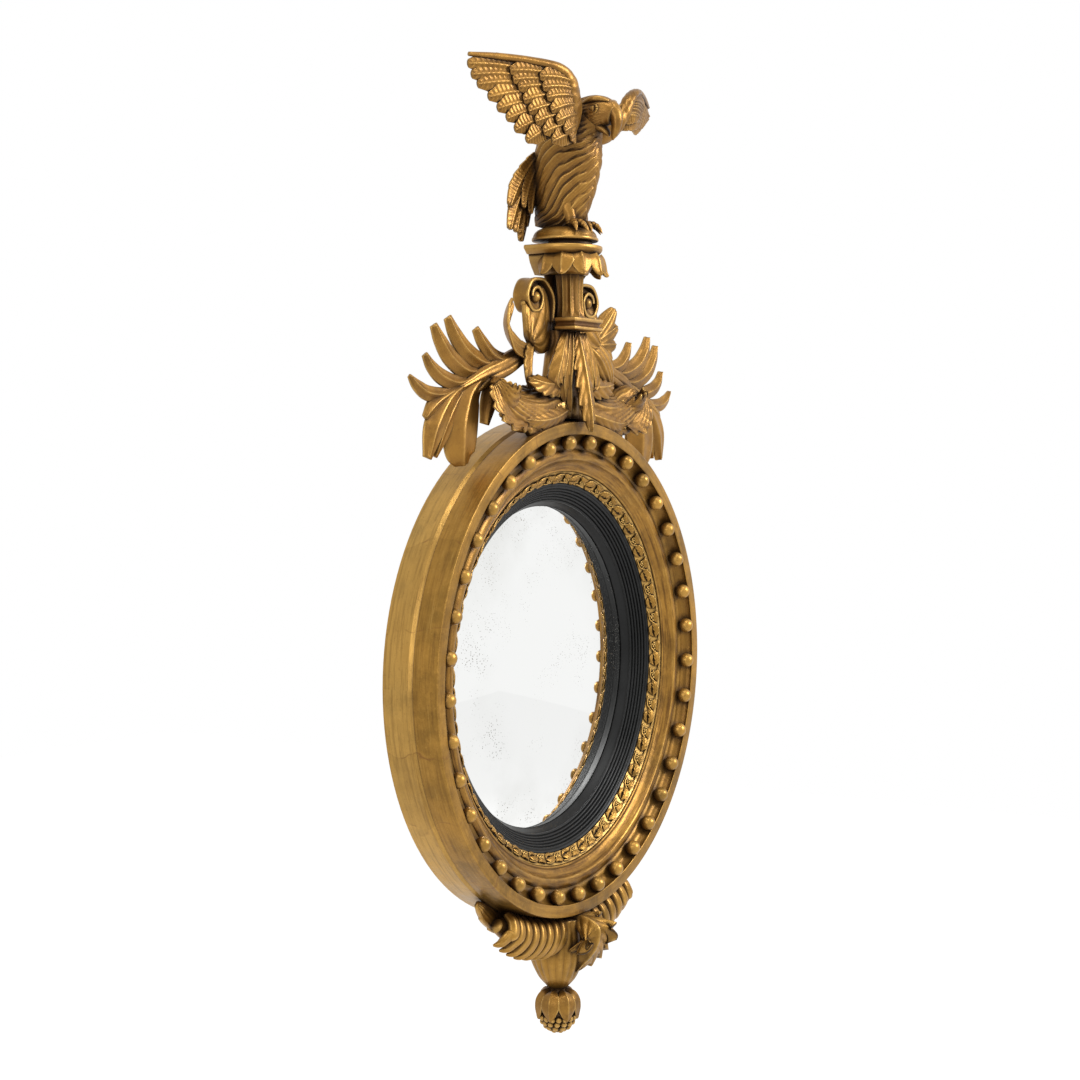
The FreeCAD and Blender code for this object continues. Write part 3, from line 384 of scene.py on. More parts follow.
class Wiring(Nodes):
    """A Geometry Nodes tree being built."""

    def __init__(self, group):
        super().__init__(group)
        self.inputs = self.nodes.new("NodeGroupInput").outputs

    def finish(self, shape):
        real = self.add("GeometryNodeRealizeInstances", _0=shape)
        painted = self.add("GeometryNodeSetMaterial", _0=real.outputs[0],
            Material=self.inputs["Finish"])
        self.add("NodeGroupOutput", _0=painted.outputs[0])


def grown(name, group, values):
    """The plain mesh that a tree makes with the given inputs."""
    seed = bpy.data.objects.new(name, bpy.data.meshes.new(name + "_seed"))
    bpy.context.scene.collection.objects.link(seed)
    maker = seed.modifiers.new("maker", "NODES")
    maker.node_group = group
    for item in group.interface.items_tree:
        if item.item_type == "SOCKET" and item.in_out == "INPUT" and item.name in values:
            maker[item.identifier] = values[item.name]
    bpy.context.view_layer.update()
    ready = seed.evaluated_get(bpy.context.evaluated_depsgraph_get())
    mesh = bpy.data.meshes.new_from_object(ready)
    seed.modifiers.remove(maker)
    seed.data = mesh
    return seed


ball_gilding = gilding("ball_gilding", hollow=0.010, shade_strength=0.9, edge_light_and_shade=0.3, glow=0.10)
ball_inputs = {"Balls": 37, "Ring": 0.2801, "Depth": 0.06945, "Radius": 0.0095,
    "Finish": ball_gilding}
ball_tree = tree("ball_ring", **ball_inputs)
ball_work = Wiring(ball_tree)
ball_ring = ball_work.add("GeometryNodeMeshCircle", Vertices=ball_work.inputs["Balls"],
    Radius=ball_work.inputs["Ring"])
ball_spot = ball_work.add("GeometryNodeMeshUVSphere", Segments=32, Rings=20,
    Radius=ball_work.inputs["Radius"])
ball_smooth = ball_work.add("GeometryNodeSetShadeSmooth", _0=ball_spot.outputs[0])
ball_tip = ball_work.add("FunctionNodeRandomValue", {"data_type": "FLOAT_VECTOR"},
    _0=(0.0, 0.0, 0.0), _1=(3.1, 3.1, 3.1), Seed=5)
ball_set = ball_work.add("GeometryNodeInstanceOnPoints", Points=ball_ring.outputs[0],
    Instance=ball_smooth.outputs[0], Rotation=ball_tip.outputs[0])
ball_out = ball_work.add("ShaderNodeCombineXYZ",
    Y=ball_work.sum("MULTIPLY", ball_work.inputs["Depth"], -1.0))
ball_up = ball_work.add("GeometryNodeTransform", _0=ball_set.outputs[0],
    Translation=ball_out.outputs[0], Rotation=(math.pi / 2, math.pi / 2, 0.0))
ball_work.finish(ball_up.outputs[0])
finished(grown("cove_balls", ball_tree, ball_inputs), ball_gilding, "gilt_balls")

# ---------------------------------------------------------------- ornament in the sloping band
# Pressed composition ornament, glued end to end in the sloping band between ogee and slip:
# long curled leaves, veined leaves and bunches of berries by turns, gilded with the rest.


def through(points, count):
    """Even steps along a smooth line through the points; also for plain numbers."""
    line = np.array(points, float)
    line = line[:, None] if line.ndim == 1 else line
    line = np.vstack([2 * line[0] - line[1], line, 2 * line[-1] - line[-2]])
    place = np.linspace(0, len(line) - 3, count)
    first = np.minimum(place.astype(int), len(line) - 4)
    part = (place - first)[:, None]
    a, b, c, d = (line[first + step] for step in range(4))
    bend = (2 * a - 5 * b + 4 * c - d) * part ** 2 + (3 * b - a - 3 * c + d) * part ** 3
    return 0.5 * (2 * b + (c - a) * part + bend)


def unit(vectors):
    """Each vector at length one."""
    return vectors / np.maximum(np.linalg.norm(vectors, axis=-1, keepdims=True), 1e-9)


def frames(spine, face, count):
    """Points, directions, sides and outward directions along a path."""
    centre = through(spine, count)
    along = unit(np.gradient(centre, axis=0))
    facing = np.array(face, float)
    facing = through(facing, count) if facing.ndim == 2 else np.broadcast_to(facing, centre.shape)
    side = unit(np.cross(along, facing))
    return centre, along, side, np.cross(side, along)


def blade(spine, widths, face, thick, count=40, across=11, fold=0.0, lobes=(0, 0.0), sweep=0.0,
        relief=None, edge=0.4):
    """Rings of a flat carved leaf: lobed edges, a folded or cupped section, a carved face."""
    centre, along, side, out = frames(spine, face, count)
    t = np.linspace(0, 1, count)
    v = np.linspace(-1, 1, across)
    half = np.maximum(through(widths, count)[:, 0] / 2, 0.15)
    tooth = (t * lobes[0]) % 1
    cut = lobes[1] * (1 - tooth) ** 1.3
    reach = half[:, None] * (1 - cut[:, None] * np.abs(v) ** 3)
    flat = centre[:, None] + side[:, None] * (reach * v)[..., None]
    flat = flat + along[:, None] * (half[:, None] * sweep * np.abs(v) ** 2)[..., None]
    flat = flat + out[:, None] * (half[:, None] * fold * np.abs(v))[..., None]
    body = thick / 2 * (edge + (1 - edge) * (1 - np.abs(v) ** 2.5))
    body = body[None] * np.minimum(1, half / (0.8 * thick))[:, None]
    carved = relief(t[:, None], v[None]) if relief else np.zeros((count, across))
    top = flat + out[:, None] * (body + carved * (1 - v ** 8))[..., None]
    under = flat - out[:, None] * body[..., None]
    return np.concatenate([top, under[:, ::-1]], axis=1)


def limb(spine, wide, deep, face, count=40, around=24, relief=None):
    """Rings of a rounded form along a path, with half widths across and outwards."""
    centre, along, side, out = frames(spine, face, count)
    turn = once_round(around)
    swell = relief(np.linspace(0, 1, count)[:, None], turn[None]) if relief else 0
    across = np.maximum(through(wide, count), 0.1) + swell
    outwards = np.maximum(through(deep, count), 0.1) + swell
    return (centre[:, None] + side[:, None] * (across * np.cos(turn))[..., None] + out[:, None]
        * (outwards * np.sin(turn))[..., None])


def ball(centre, radius, segments=12):
    """Rings of a small round berry or eye."""
    fall = np.linspace(0.12, math.pi - 0.12, segments)
    turn = once_round(segments + 2)
    ring = np.stack([np.outer(np.sin(fall), np.cos(turn)), np.outer(np.sin(fall), np.sin(turn)),
        np.broadcast_to(np.cos(fall)[:, None], (segments, segments + 2))], axis=-1)
    return np.array(centre, float) + radius * ring


def carving(name, forms):
    """One mesh from the rings of several closed forms."""
    points = []
    faces = []
    for form in forms:
        rows, columns = form.shape[:2]
        faces += skin(rows, columns, len(points))
        points += form.reshape(-1, 3).tolist()
    return outward(mesh_piece(name, points, faces))


def flipped(forms):
    """The same forms on the other side of the middle."""
    return [form * np.array([-1.0, 1.0, 1.0]) for form in forms]


def veined(pairs, depth, lean=0.8, rib=0.5):
    """A carved face with a raised rib and side veins that lean towards the tip."""
    def face(t, v):
        vein = np.abs(np.sin(math.pi * (pairs * t - lean * np.abs(v))))
        return rib * np.exp(-(v / 0.13) ** 2) + depth * (vein ** 0.6 - 1) * np.abs(v) ** 0.5
    return face


FRONT = (0, 1, 0)  # out from the wall, towards the room
BAND_RADIUS = 236.3
BAND_DEPTH = 44.6
BAND_SLOPE = math.atan2(9.4, 12.2)
BAND_REPEATS = 38
motif = [
    blade([(2, 0.3, 1), (9, 1.6, 2.5), (17, 1.4, 1.2), (22, 0.2, -2)], [3, 7.5, 8.5, 6, 1.5],
        FRONT, 2.6, 24, 9, 0.15, (4, 0.35), 0.5, veined(5, 0.8)),
    blade([(3, 0.2, -1), (8, 1.2, -5), (15, 1.2, -5.2), (19, 0.2, -2.6)], [2, 4.5, 4.5, 1], FRONT,
        2.2, 18, 7, 0.1, (3, 0.3), 0.4, veined(4, 0.6)),
    blade([(21, 0.2, 5.2), (26, 1.5, 3), (32, 1.6, 3.6), (37, 0.3, 5.6)], [2, 6.5, 6, 1.5], FRONT,
        2.6, 22, 9, 0.15, (4, 0.3), 0.5, veined(5, 0.8)),
    limb([(0, 0.5, 5.6), (7, 1.0, 6.4), (14, 1.0, 5.4), (20, 0.8, 1.5), (26, 0.9, -4.6),
        (33, 1.0, -5.8), (39, 0.5, -5.6)], [0.8, 1.0, 1.1, 1.0, 0.8], [0.9, 1.1, 1.2, 1.1, 0.9],
        FRONT, 30, 8),
]
for across, up, size in ((26, -0.8, 1.7), (29, -2.4, 1.6), (28.6, 0.9, 1.6), (31.4, -0.8, 1.7),
        (31.6, -3.4, 1.4), (34, -1.6, 1.4), (24.2, -2.6, 1.3), (34.2, 0.6, 1.1)):
    motif.append(ball((across, 1.2, up), size, 5))


def round_the_band(form, index):
    """A straight motif (along, out, across the band) bent to its place on the sloping ring."""
    turn = (form[..., 0] / 39.0 + index) * 2 * math.pi / BAND_REPEATS
    radius = BAND_RADIUS + form[..., 2] * math.cos(BAND_SLOPE) - form[..., 1] * math.sin(BAND_SLOPE)
    depth = BAND_DEPTH + form[..., 2] * math.sin(BAND_SLOPE) + form[..., 1] * math.cos(BAND_SLOPE)
    return np.stack([radius * np.cos(turn), depth, radius * np.sin(turn)], axis=-1)


band_gilding = gilding("band_gilding", hollow=0.0045, shade_strength=1.25, edge_light_and_shade=1.0)
band_motif = carving("band_motif", [round_the_band(form, -0.5) for form in motif])
bpy.context.scene.collection.objects.unlink(band_motif)
band_inputs = {"Repeats": BAND_REPEATS, "Motif": band_motif, "Finish": band_gilding}
band_tree = tree("ornament_ring", **band_inputs)
band_work = Wiring(band_tree)
band_shape = band_work.add("GeometryNodeObjectInfo", {"transform_space": "ORIGINAL"},
    Object=band_work.inputs["Motif"])
band_points = band_work.add("GeometryNodePoints", Count=band_work.inputs["Repeats"])
band_share = band_work.sum("DIVIDE", band_work.add("GeometryNodeInputIndex").outputs[0],
    band_work.inputs["Repeats"])
band_spin = band_work.add("ShaderNodeCombineXYZ",
    Y=band_work.sum("MULTIPLY", band_share, 2 * math.pi))
band_set = band_work.add("GeometryNodeInstanceOnPoints", Points=band_points.outputs[0],
    Instance=band_shape.outputs["Geometry"], Rotation=band_spin.outputs[0])
band_work.finish(band_set.outputs[0])
finished(grown("band_ornament", band_tree, band_inputs), band_gilding)
coated(band_gilding, "ornament_band")
bpy.data.objects.remove(band_motif)

# ---------------------------------------------------------------- crest: shaft, shelf and cap
# The crest is carved from glued limewood and dowelled into the top of the drum. A leafy shaft
# stands on a saddle; above it come a small moulded shelf, a fluted column that flares into
# drooping leaves, a cap moulding with a round front, and the disc that carries the rock.

carved_gilding = gilding("carved_gilding", hollow=0.010, shade_strength=1.15, edge_light_and_shade=0.85, worn=0.28)


def layered(levels):
    """Rings of a form from its plans of (across, depth), each at a height."""
    return np.stack([np.column_stack([plan, np.full(len(plan), height)])
        for plan, height in levels])


def stacked(name, levels):
    """A closed piece from its plans."""
    return carving(name, [layered(levels)])


def round_plan(radius, depth, turn):
    """Plan of (across, depth) at a radius, even or rippled, about its own middle."""
    return np.column_stack([radius * np.cos(turn), depth + radius * np.sin(turn)])


def dee(half, back, front, count=56):
    """Plan with a square back and a round front."""
    corners = [[-half, back + 1.5], [-half + 1.5, back], [half - 1.5, back], [half, back + 1.5]]
    return np.vstack([round_plan(half, front - half, np.linspace(0, math.pi, count)), corners])


def square(half, back, front):
    """Plan of a rectangle with a little rounding at its corners."""
    return np.array(eased([(half, front), (-half, front), (-half, back), (half, back)], 1.0, 3))


cap_levels = [(5.5, 510), (5, 510.4), (3.4, 512), (1.4, 514), (0.6, 515.4), (0.5, 515.8),
    (0.1, 516.4), (0, 517.2), (0, 519.8), (0.4, 520.7), (1.4, 521)]
cap = stacked("cap_gilt", [(dee(48 - inset, 18 + min(inset, 1), 94.5 - inset), height)
    for inset, height in cap_levels])
finished(cap, carved_gilding, "cap_moulding")

shelf_levels = [(1.2, 417.5), (0.2, 418), (0, 419), (0, 420.6), (0.8, 421.4), (2.6, 422.6),
    (3.2, 424), (3.0, 425.6), (1.4, 427), (0.3, 427.8), (0, 428.8), (0, 431), (0.3, 431.7),
    (1.2, 432)]
shelf = stacked("shelf_gilt", [(square(33 - inset, 54, 84 - inset), height)
    for inset, height in shelf_levels])
finished(shelf, gilding("shelf_gilding", worn=0.9), "shelf_moulding")


def fluted(radius, depth, flutes, cut):
    """Plan of a column with hollow flutes."""
    turn = once_round(120)
    return round_plan(radius - cut * np.abs(np.sin(turn * flutes / 2)) ** 0.8, depth, turn)


column_levels = []
for height in np.linspace(432, 509.8, 40):
    rise = (height - 432) / 78
    radius = 16.2 + 3.0 * (1 - rise) ** 6 + 7.5 * rise ** 3
    column_levels.append((fluted(radius, 56 - 1.5 * rise, 10, 3.4 * min(1, 8 * rise + 0.2)),
        height))
column = stacked("column_gilt", column_levels)
finished(column, carved_gilding, "fluted_column")

petals = [layered([(dee(half, 18.3, 56 + half * 0.9), height)
    for half, height in ((24, 486), (27, 490), (31, 495), (35, 501), (37, 506), (38, 509.9))])]
for turn, reach in ((-14, 41), (21, 41), (56, 40), (91, 40), (126, 40), (161, 41), (194, 41)):
    angle = math.radians(turn)
    aim = np.array([math.cos(angle), math.sin(angle), 0.0])
    stations = [(-3, 509.9), (0.5, 505), (2.4, 499), (3.4, 493), (4.6, 487.5), (7.4, 483.5)]
    line = [(0, 55, height) + aim * (reach + out) for out, height in stations]
    petals.append(blade(line, [25, 29, 28, 22, 13, 2], tuple(aim), 3.6, 44, 19, -0.30,
        relief=veined(1, 0.0, rib=1.3), edge=0.6))
finished(carving("leaf_collar_gilt", petals), carved_gilding, "leaf_collar")


def coarse_bark(pitch, deep):
    """Upright carved folds that wander a little."""
    def face(t, turn):
        wander = 0.35 * np.sin(5.0 * t + 2 * turn) + 0.2 * np.sin(13 * t + turn)
        return deep * (np.abs(np.sin(pitch * turn / 2 + wander)) ** 0.6 - 0.6)
    return face


shaft_forms = [
    limb([(0, 46, 336), (0, 46, 352), (0, 45, 378), (0, 46, 400), (0, 46, 417.4)],
        [45, 42, 33, 27, 26], [18, 17, 17, 18, 18], FRONT, 60, 96, coarse_bark(7, 1.5)),
    limb([(0, 31, 417), (0, 31, 440), (0, 31, 486), (0, 31, 509)], [21, 19, 19, 20],
        [4.5, 4.5, 4.5, 4.5], FRONT, 12, 32),
]
finished(carving("shaft_gilt", shaft_forms), carved_gilding, "crest_shaft")

DRUM_REACH = 309.6
SADDLE_HALF = 62
SADDLE_TOP = 338
saddle_end = math.asin(SADDLE_HALF / DRUM_REACH)
saddle_rings = []
for angle in np.linspace(-saddle_end, saddle_end, 40):
    across = DRUM_REACH * math.sin(angle)
    low = DRUM_REACH * math.cos(angle)
    share = abs(across) / SADDLE_HALF
    tall = low + 3 + (SADDLE_TOP - low - 3) * (1 - share ** 2.2)
    face = 66 + 1.2 * math.sin(abs(across) * 0.55) - 6 * share
    section = [(face, low), (face, tall - 3), (63 - 6 * share, tall), (14, tall), (12, tall - 2),
        (12, low)]
    saddle_rings.append([(across, depth, height) for depth, height in section])
finished(carving("saddle_gilt", [np.array(saddle_rings)]), carved_gilding, "crest_saddle")

neck_levels = [(26.6, 521), (27.4, 521.6), (27.6, 522.6), (27.2, 525), (26.6, 527)]
neck_turn = once_round(96)
neck = stacked("neck_gilt", [(round_plan(radius, 55.6, neck_turn), height)
    for radius, height in neck_levels])
finished(neck, carved_gilding, "neck_disc")

rock_levels = []
for share, spread in ((0, 0.96), (0.03, 0.985), (0.10, 1.0), (0.22, 0.995), (0.28, 0.965),
        (0.40, 0.955), (0.58, 0.91), (0.74, 0.83), (0.87, 0.70), (0.96, 0.50), (1.0, 0.2)):
    lumps = 1 + (0.015 * np.sin(3 * neck_turn + 4 * share) + 0.012 * np.sin(7 * neck_turn + 1)
        - 0.012) * min(1, 3 * share)
    rock_levels.append((round_plan(41.5 * spread * lumps, 48.5, neck_turn), 527 + 18 * share))
finished(stacked("rock_gilt", rock_levels), carved_gilding, "rock_mound")

# ---------------------------------------------------------------- crest: volutes and leaves
# Each volute is a scrolled band with a sunk eye, over a leg that ends in a small shell. The
# fan leaves, acanthus and serrated leaf are separate carvings, glued and pinned on.


def shell(flutes, deep, start=3.0, late=0.0):
    """A leaf face cut in flutes that deepen from its root."""
    def face(t, v):
        flute = deep * (np.abs(np.cos(flutes * math.pi * v)) ** 0.7 - 0.8)
        return flute * np.clip(start * t - late, 0, 1)
    return face


def sunk_band(t, v):
    """A scroll's face, hollowed between its two edges."""
    return -0.9 * (np.abs(v) < 0.7) * (1 - (v / 0.7) ** 2) * np.ones_like(t)


spiral = []
for turn, reach in ((-38, 47), (0, 39), (40, 29), (75, 22.5), (120, 20), (180, 19.3), (240, 18.6),
        (300, 16.8), (360, 14.4), (420, 12.2), (470, 10.4), (510, 9.4), (540, 9.0)):
    angle = math.radians(turn)
    spiral.append((-62 + reach * math.cos(angle), 37, 456 + reach * math.sin(angle)))
scroll_face = [tuple(-unit(np.array([-62, 37, 456]) - point)) for point in spiral]
volute_forms = [
    blade(spiral, [21.5] * 13, scroll_face, 4.4, 150, 13, relief=sunk_band, edge=0.85),
    limb([(-62, 29, 456), (-62, 36, 456), (-62, 41.5, 456)], [19.5, 19.5, 18.5],
        [19.5, 19.5, 18.5], (0, 0, 1), 8, 48),
    ball((-60.5, 42, 455.5), 7.6, 20),
    blade([(-42, 36, 472), (-40, 38, 454), (-45, 41, 436), (-59, 45, 418), (-78, 47, 403)],
        [12, 22, 34, 46, 58, 68, 76, 78, 72, 56, 24], FRONT, 12, 90, 49, -0.10, (9, 0.03), -0.1,
        shell(2.5, 2.0, 1.5, 0.25), 0.5),
]
volute_gilding = gilding("volute_gilding", hollow=0.010, shade_strength=1.15, edge_light_and_shade=0.6, worn=0.22)
finished(carving("volute_left_gilt", volute_forms), volute_gilding, "volute_left")
finished(carving("volute_right_gilt", flipped(volute_forms)), volute_gilding, "volute_right")

fan_forms = [
    blade([(-74, 42, 391), (-99, 46, 390), (-122, 48, 399), (-134, 49, 416), (-131, 49, 433),
        (-120, 48, 446)], [14, 22, 28, 29, 26, 15], (0.55, 0.84, 0.1), 4.5, 64, 25, 0.30,
        (5, 0.10), 0.0, lambda t, v: 1.5 * (np.abs(np.sin(math.pi * (2.5 * v + 0.3))) ** 0.7 - 0.7)
        * np.minimum(1, 3 * t), 0.6),
    blade([(-70, 44, 398), (-80, 49, 382), (-86, 52, 364), (-80, 50, 343)], [16, 30, 28, 3],
        (0.50, 0.86, 0.1), 5, 60, 25, -0.28, (5, 0.2), 0.2, veined(5, 1.4, rib=1.4), 0.6),
]
finished(carving("fan_leaf_left_gilt", fan_forms), volute_gilding, "fan_leaf_left")
open_fan = []
for high, reach, width in ((452, 121, 25), (430, 127, 27), (407, 123, 27), (386, 113, 24)):
    rise = high - 404
    open_fan.append(blade([(60, 40, 403), (80, 44, 403 + 0.20 * rise),
        (100, 47, 404 + 0.55 * rise), (reach, 48, high)], [13, 19, 24, width, width, 13],
        (-0.45, 0.87, 0.1), 5, 56, 17, -0.30, (3, 0.06), -0.15, shell(1.5, 1.1), 0.6))
open_fan.append(blade([(56, 46, 404), (76, 52, 388), (92, 54, 368), (106, 52, 345)],
    [20, 38, 46, 44, 30, 6], (-0.30, 0.93, 0.2), 5, 64, 31, -0.25, (4, 0.06), 0.1, shell(2.5, 1.5),
    0.6))
finished(carving("fan_leaf_right_gilt", open_fan), volute_gilding, "fan_leaf_right")


def swept_ribs(count, deep, sway):
    """Ribs that run with a leaf and swing across it as they go."""
    def face(t, v):
        swing = v * (1 + 0.5 * t) + sway * t + 0.12 * np.sin(9 * t + 3 * v)
        rib = np.abs(np.sin(math.pi * count * swing / 2))
        return deep * (rib ** 0.6 - 0.6) * (0.75 + 0.25 * np.sin(7 * t + 5 * v))
    return face


acanthus_forms = [
    # the broad turned body of the leaf, then its curled and torn end
    blade([(-14, 50, 334), (-44, 57, 328), (-80, 62, 322), (-116, 62, 322), (-146, 60, 331)],
        [58, 68, 68, 58, 46], (-0.05, 0.9, 0.42), 14, 80, 41, -0.35, (8, 0.14), 0.35,
        swept_ribs(8, 2.8, 0.9), 0.4),
    blade([(-98, 50, 318), (-134, 60, 314), (-160, 64, 326), (-170, 59, 345)], [30, 54, 46, 20],
        (-0.35, 0.8, 0.1), 6, 56, 31, 0.45, (7, 0.3), 0.4, swept_ribs(6, 2.4, 0.3), 0.5),
    blade([(-106, 54, 330), (-132, 53, 343), (-150, 56, 350), (-165, 61, 342)], [26, 34, 30, 12],
        (-0.1, 0.7, 0.8), 6, 44, 25, -0.35, (6, 0.3), 0.3, swept_ribs(5, 1.8, 0.2), 0.5),
    blade([(-20, 58, 352), (-46, 63, 349), (-74, 64, 350), (-98, 60, 354)], [26, 30, 26, 5],
        (0.0, 0.9, 0.4), 6, 48, 21, -0.3, (5, 0.28), 0.5, veined(6, 1.6, 1.0, 1.0), 0.5),
    blade([(-18, 62, 319), (-54, 70, 310), (-88, 71, 305), (-122, 67, 306)], [24, 26, 22, 5],
        (0.0, 0.9, 0.1), 6, 50, 21, -0.3, (5, 0.25), 0.4, veined(7, 1.6, 1.0, 1.0), 0.5),
]
acanthus_gilding = gilding("acanthus_gilding", hollow=0.013, shade_strength=1.4, edge_light_and_shade=0.85, worn=0.36)
finished(carving("acanthus_left_gilt", acanthus_forms), acanthus_gilding, "acanthus_left")
finished(carving("acanthus_right_gilt", flipped(acanthus_forms)), acanthus_gilding,
    "acanthus_right")

serrated = blade([(0, 65, 416), (0, 69, 400), (0, 74, 380), (0, 80, 350), (0, 85, 318),
    (0, 87, 293)], [10, 23, 31, 33, 26, 3], (-0.12, 1, 0), 5, 100, 27, -0.22, (7, 0.34), 0.45,
    veined(7, 1.8, 1.0, 2.0), 0.55)
finished(carving("front_leaf_gilt", [serrated]), carved_gilding, "front_leaf")

narrow = []
for lean, foot in ((14, 317), (27, 330), (40, 345)):
    narrow.append(blade([(-lean * 0.5, 62, 415), (-lean * 0.9, 66, 385), (-lean * 1.2, 66, 355),
        (-lean * 1.0, 65, foot)], [10, 21, 22, 3], (-lean / 70, 1, 0), 6, 54, 19, -0.25, (4, 0.16),
        0.4, veined(5, 1.4, rib=1.3), 0.5))
finished(carving("shaft_leaves_gilt", narrow + flipped(narrow)), carved_gilding, "shaft_leaves")

# ---------------------------------------------------------------- palm fronds
# Two palm branches, each sawn and carved from one board, spring from the foot of the volutes:
# upright leaflets with blunt ends above the rib, long hanging leaflets below it.


def creased(rise, lines=0.0):
    """A leaflet face with a crest down its middle and a hollow each side."""
    def face(t, v):
        hollow = -0.9 * np.sin(math.pi * np.abs(v)) ** 2
        return rise * (1 - np.abs(v)) ** 1.4 + hollow + lines * np.sin(26 * v + 3 * t)
    return face


upright = [
    ([(-98, 383), (-124, 377), (-149, 382), (-167, 396), (-178, 411)], [11, 18, 19, 16, 10], 37),
    ([(-124, 375), (-162, 372), (-198, 384), (-219, 402), (-231, 421)], [12, 21, 23, 19, 11], 35),
    ([(-146, 366), (-190, 361), (-225, 374), (-245, 393), (-256, 411)], [12, 21, 22, 18, 10], 33),
    ([(-168, 358), (-208, 347), (-241, 352), (-261, 363), (-272, 377)], [11, 18, 19, 15, 8], 32),
    ([(-188, 348), (-230, 334), (-265, 333), (-286, 341), (-299, 352)], [11, 16, 18, 14, 5], 30),
]
hanging = [
    ([(-200, 344), (-228, 334), (-254, 322), (-271, 306)], [9, 19, 20, 7], 31),
    ([(-196, 346), (-230, 328), (-256, 296), (-268, 260)], [10, 26, 30, 12], 33),
    ([(-188, 347), (-216, 322), (-238, 292), (-251, 262)], [9, 20, 24, 9], 30),
    ([(-160, 358), (-190, 336), (-206, 302), (-208, 268), (-204, 252)], [12, 38, 50, 44, 20], 36),
    ([(-130, 369), (-146, 350), (-155, 326), (-160, 300)], [10, 21, 24, 13], 38),
]


def palm_branch(lean):
    """All leaflets and the ribs of the left branch; the leaflets' faces lean across."""
    leaflets = []
    for points, widths, depth in upright + hanging:
        line = [(x, depth + 3.5 * math.sin(math.pi * k / (len(points) - 1)), z)
            for k, (x, z) in enumerate(points)]
        leaflets.append(blade(line, widths, (lean, 1, 0.0), 5.2, 50, 19, -0.20,
            relief=creased(2.2, 0.15), edge=0.45))
    leaflets.append(limb([(-60, 36, 392), (-96, 39, 383), (-128, 39, 370), (-162, 38, 359),
        (-196, 35, 345), (-228, 32, 334)], [9, 11, 12.5, 11, 7, 2.5], [7, 8, 8, 7, 5, 2], FRONT,
        70, 36, grooved(9, 1.3)))
    leaflets.append(limb([(-66, 40, 388), (-112, 42, 367), (-150, 41, 353), (-176, 38, 338)],
        [5, 7, 6.5, 3], [5, 6, 5, 3], FRONT, 40, 20, grooved(6, 0.8)))
    return leaflets


def grooved(count, deep):
    """Fine grooves along a stalk."""
    def face(t, turn):
        return -deep * np.abs(np.sin(count * turn / 2 + 0.4 * np.sin(6 * t))) ** 0.5
    return face


palm_gilding = gilding("palm_gilding", hollow=0.012, shade_strength=1.2, edge_light_and_shade=0.75, worn=0.36)
finished(carving("palm_left_gilt", palm_branch(-0.30)), palm_gilding, "palm_frond_left")
finished(carving("palm_right_gilt", flipped(palm_branch(0.30))), palm_gilding, "palm_frond_right")

# ---------------------------------------------------------------- eagle
# The eagle is carved in the round and leans forward on the rock. The wings are carved
# separately, feather over feather, and pinned to the shoulders; the tail hangs behind.


def combed(pitch, lean, deep):
    """Long combed strokes: sweeping down and back over the flanks, upright down the breast."""
    def face(t, turn):
        front = np.abs((turn + math.pi / 2) % (2 * math.pi) - math.pi)
        side = np.clip((front - 0.15) / 0.8, 0, 1)
        wander = 0.42 * np.sin(2 * turn + 9 * t) + 0.13 * np.sin(5 * turn - 13 * t)
        wander = wander + 0.05 * np.sin(11 * turn + 17 * t)
        stroke = (pitch * t + lean * front + wander) % 1
        lock = np.minimum(1, stroke / 0.72) ** 0.8 * np.minimum(1, (1 - stroke) / 0.16)
        fine = np.sin(2 * math.pi * 3.1 * (pitch * t + lean * front) + 5 * wander)
        strokes = (0.45 + 0.55 * side) * (lock - 0.8)
        return deep * (strokes + 0.09 * fine) * np.minimum(1, 9 * (1 - t))
    return face


def crown(t, turn):
    """Rows of short feathers over the head, and a brow above each eye."""
    tuft = (2.5 * t + 15 / math.pi * turn) % 1
    tufts = 1.9 * (np.minimum(1, tuft / 0.7) ** 0.8 - 0.8) * np.clip(1.35 - 1.5 * t, 0, 1)
    brow = 2.2 * np.exp(-((np.sin(turn) - 0.50) / 0.20) ** 2) * np.exp(-((t - 0.66) / 0.2) ** 2)
    return tufts + brow


def thigh(t, turn):
    """Loose feathers on the thigh, and rings of scales on the shank."""
    loose = 0.9 * (np.abs(np.sin(4 * turn + 5 * t)) ** 0.6 - 0.7) * np.clip(1.2 - 1.4 * t, 0, 1)
    return loose + 0.5 * np.sin(46 * t) * np.clip(3 * t - 2, 0, 1)


torso_line = [(0, 35, 541), (0, 38, 552), (0, 42, 566), (0, 46, 590), (0, 50, 615), (0, 56, 640),
    (0, 65, 658), (0, 75, 670), (0, 86, 679)]
torso = limb(torso_line, [18, 24, 28, 32, 34, 35, 32, 27, 22],
    [29, 31, 35, 41, 44, 43, 37, 30, 22], FRONT, 230, 170, combed(11, 2.7, 3.4))
head = limb([(0, 60, 668), (0, 72, 678), (0, 88, 681), (0, 101, 681), (0, 111, 679),
    (0, 118, 676)], [11, 20, 22.5, 20.5, 16, 12], [10, 19, 21, 19.5, 16, 12.5], (0, 0, 1), 110,
    120, crown)
eagle_forms = [torso, head]
eagle_forms.append(limb([(0, 106, 683), (0, 114, 682), (0, 120.5, 675), (0, 121.5, 664),
    (0, 118.5, 653), (0, 116, 646)], [13, 11, 8.5, 6.2, 3.6, 0.8], [12, 12, 8.5, 6.4, 4.2, 1],
    (0, 0.4, 1), 50, 30))
eagle_forms.append(limb([(0, 96, 664), (0, 104, 660), (0, 109, 655), (0, 111, 651)],
    [11, 8.5, 5.8, 1.6], [6.5, 5, 3.4, 1.2], (0, 0.4, 1), 26, 24))
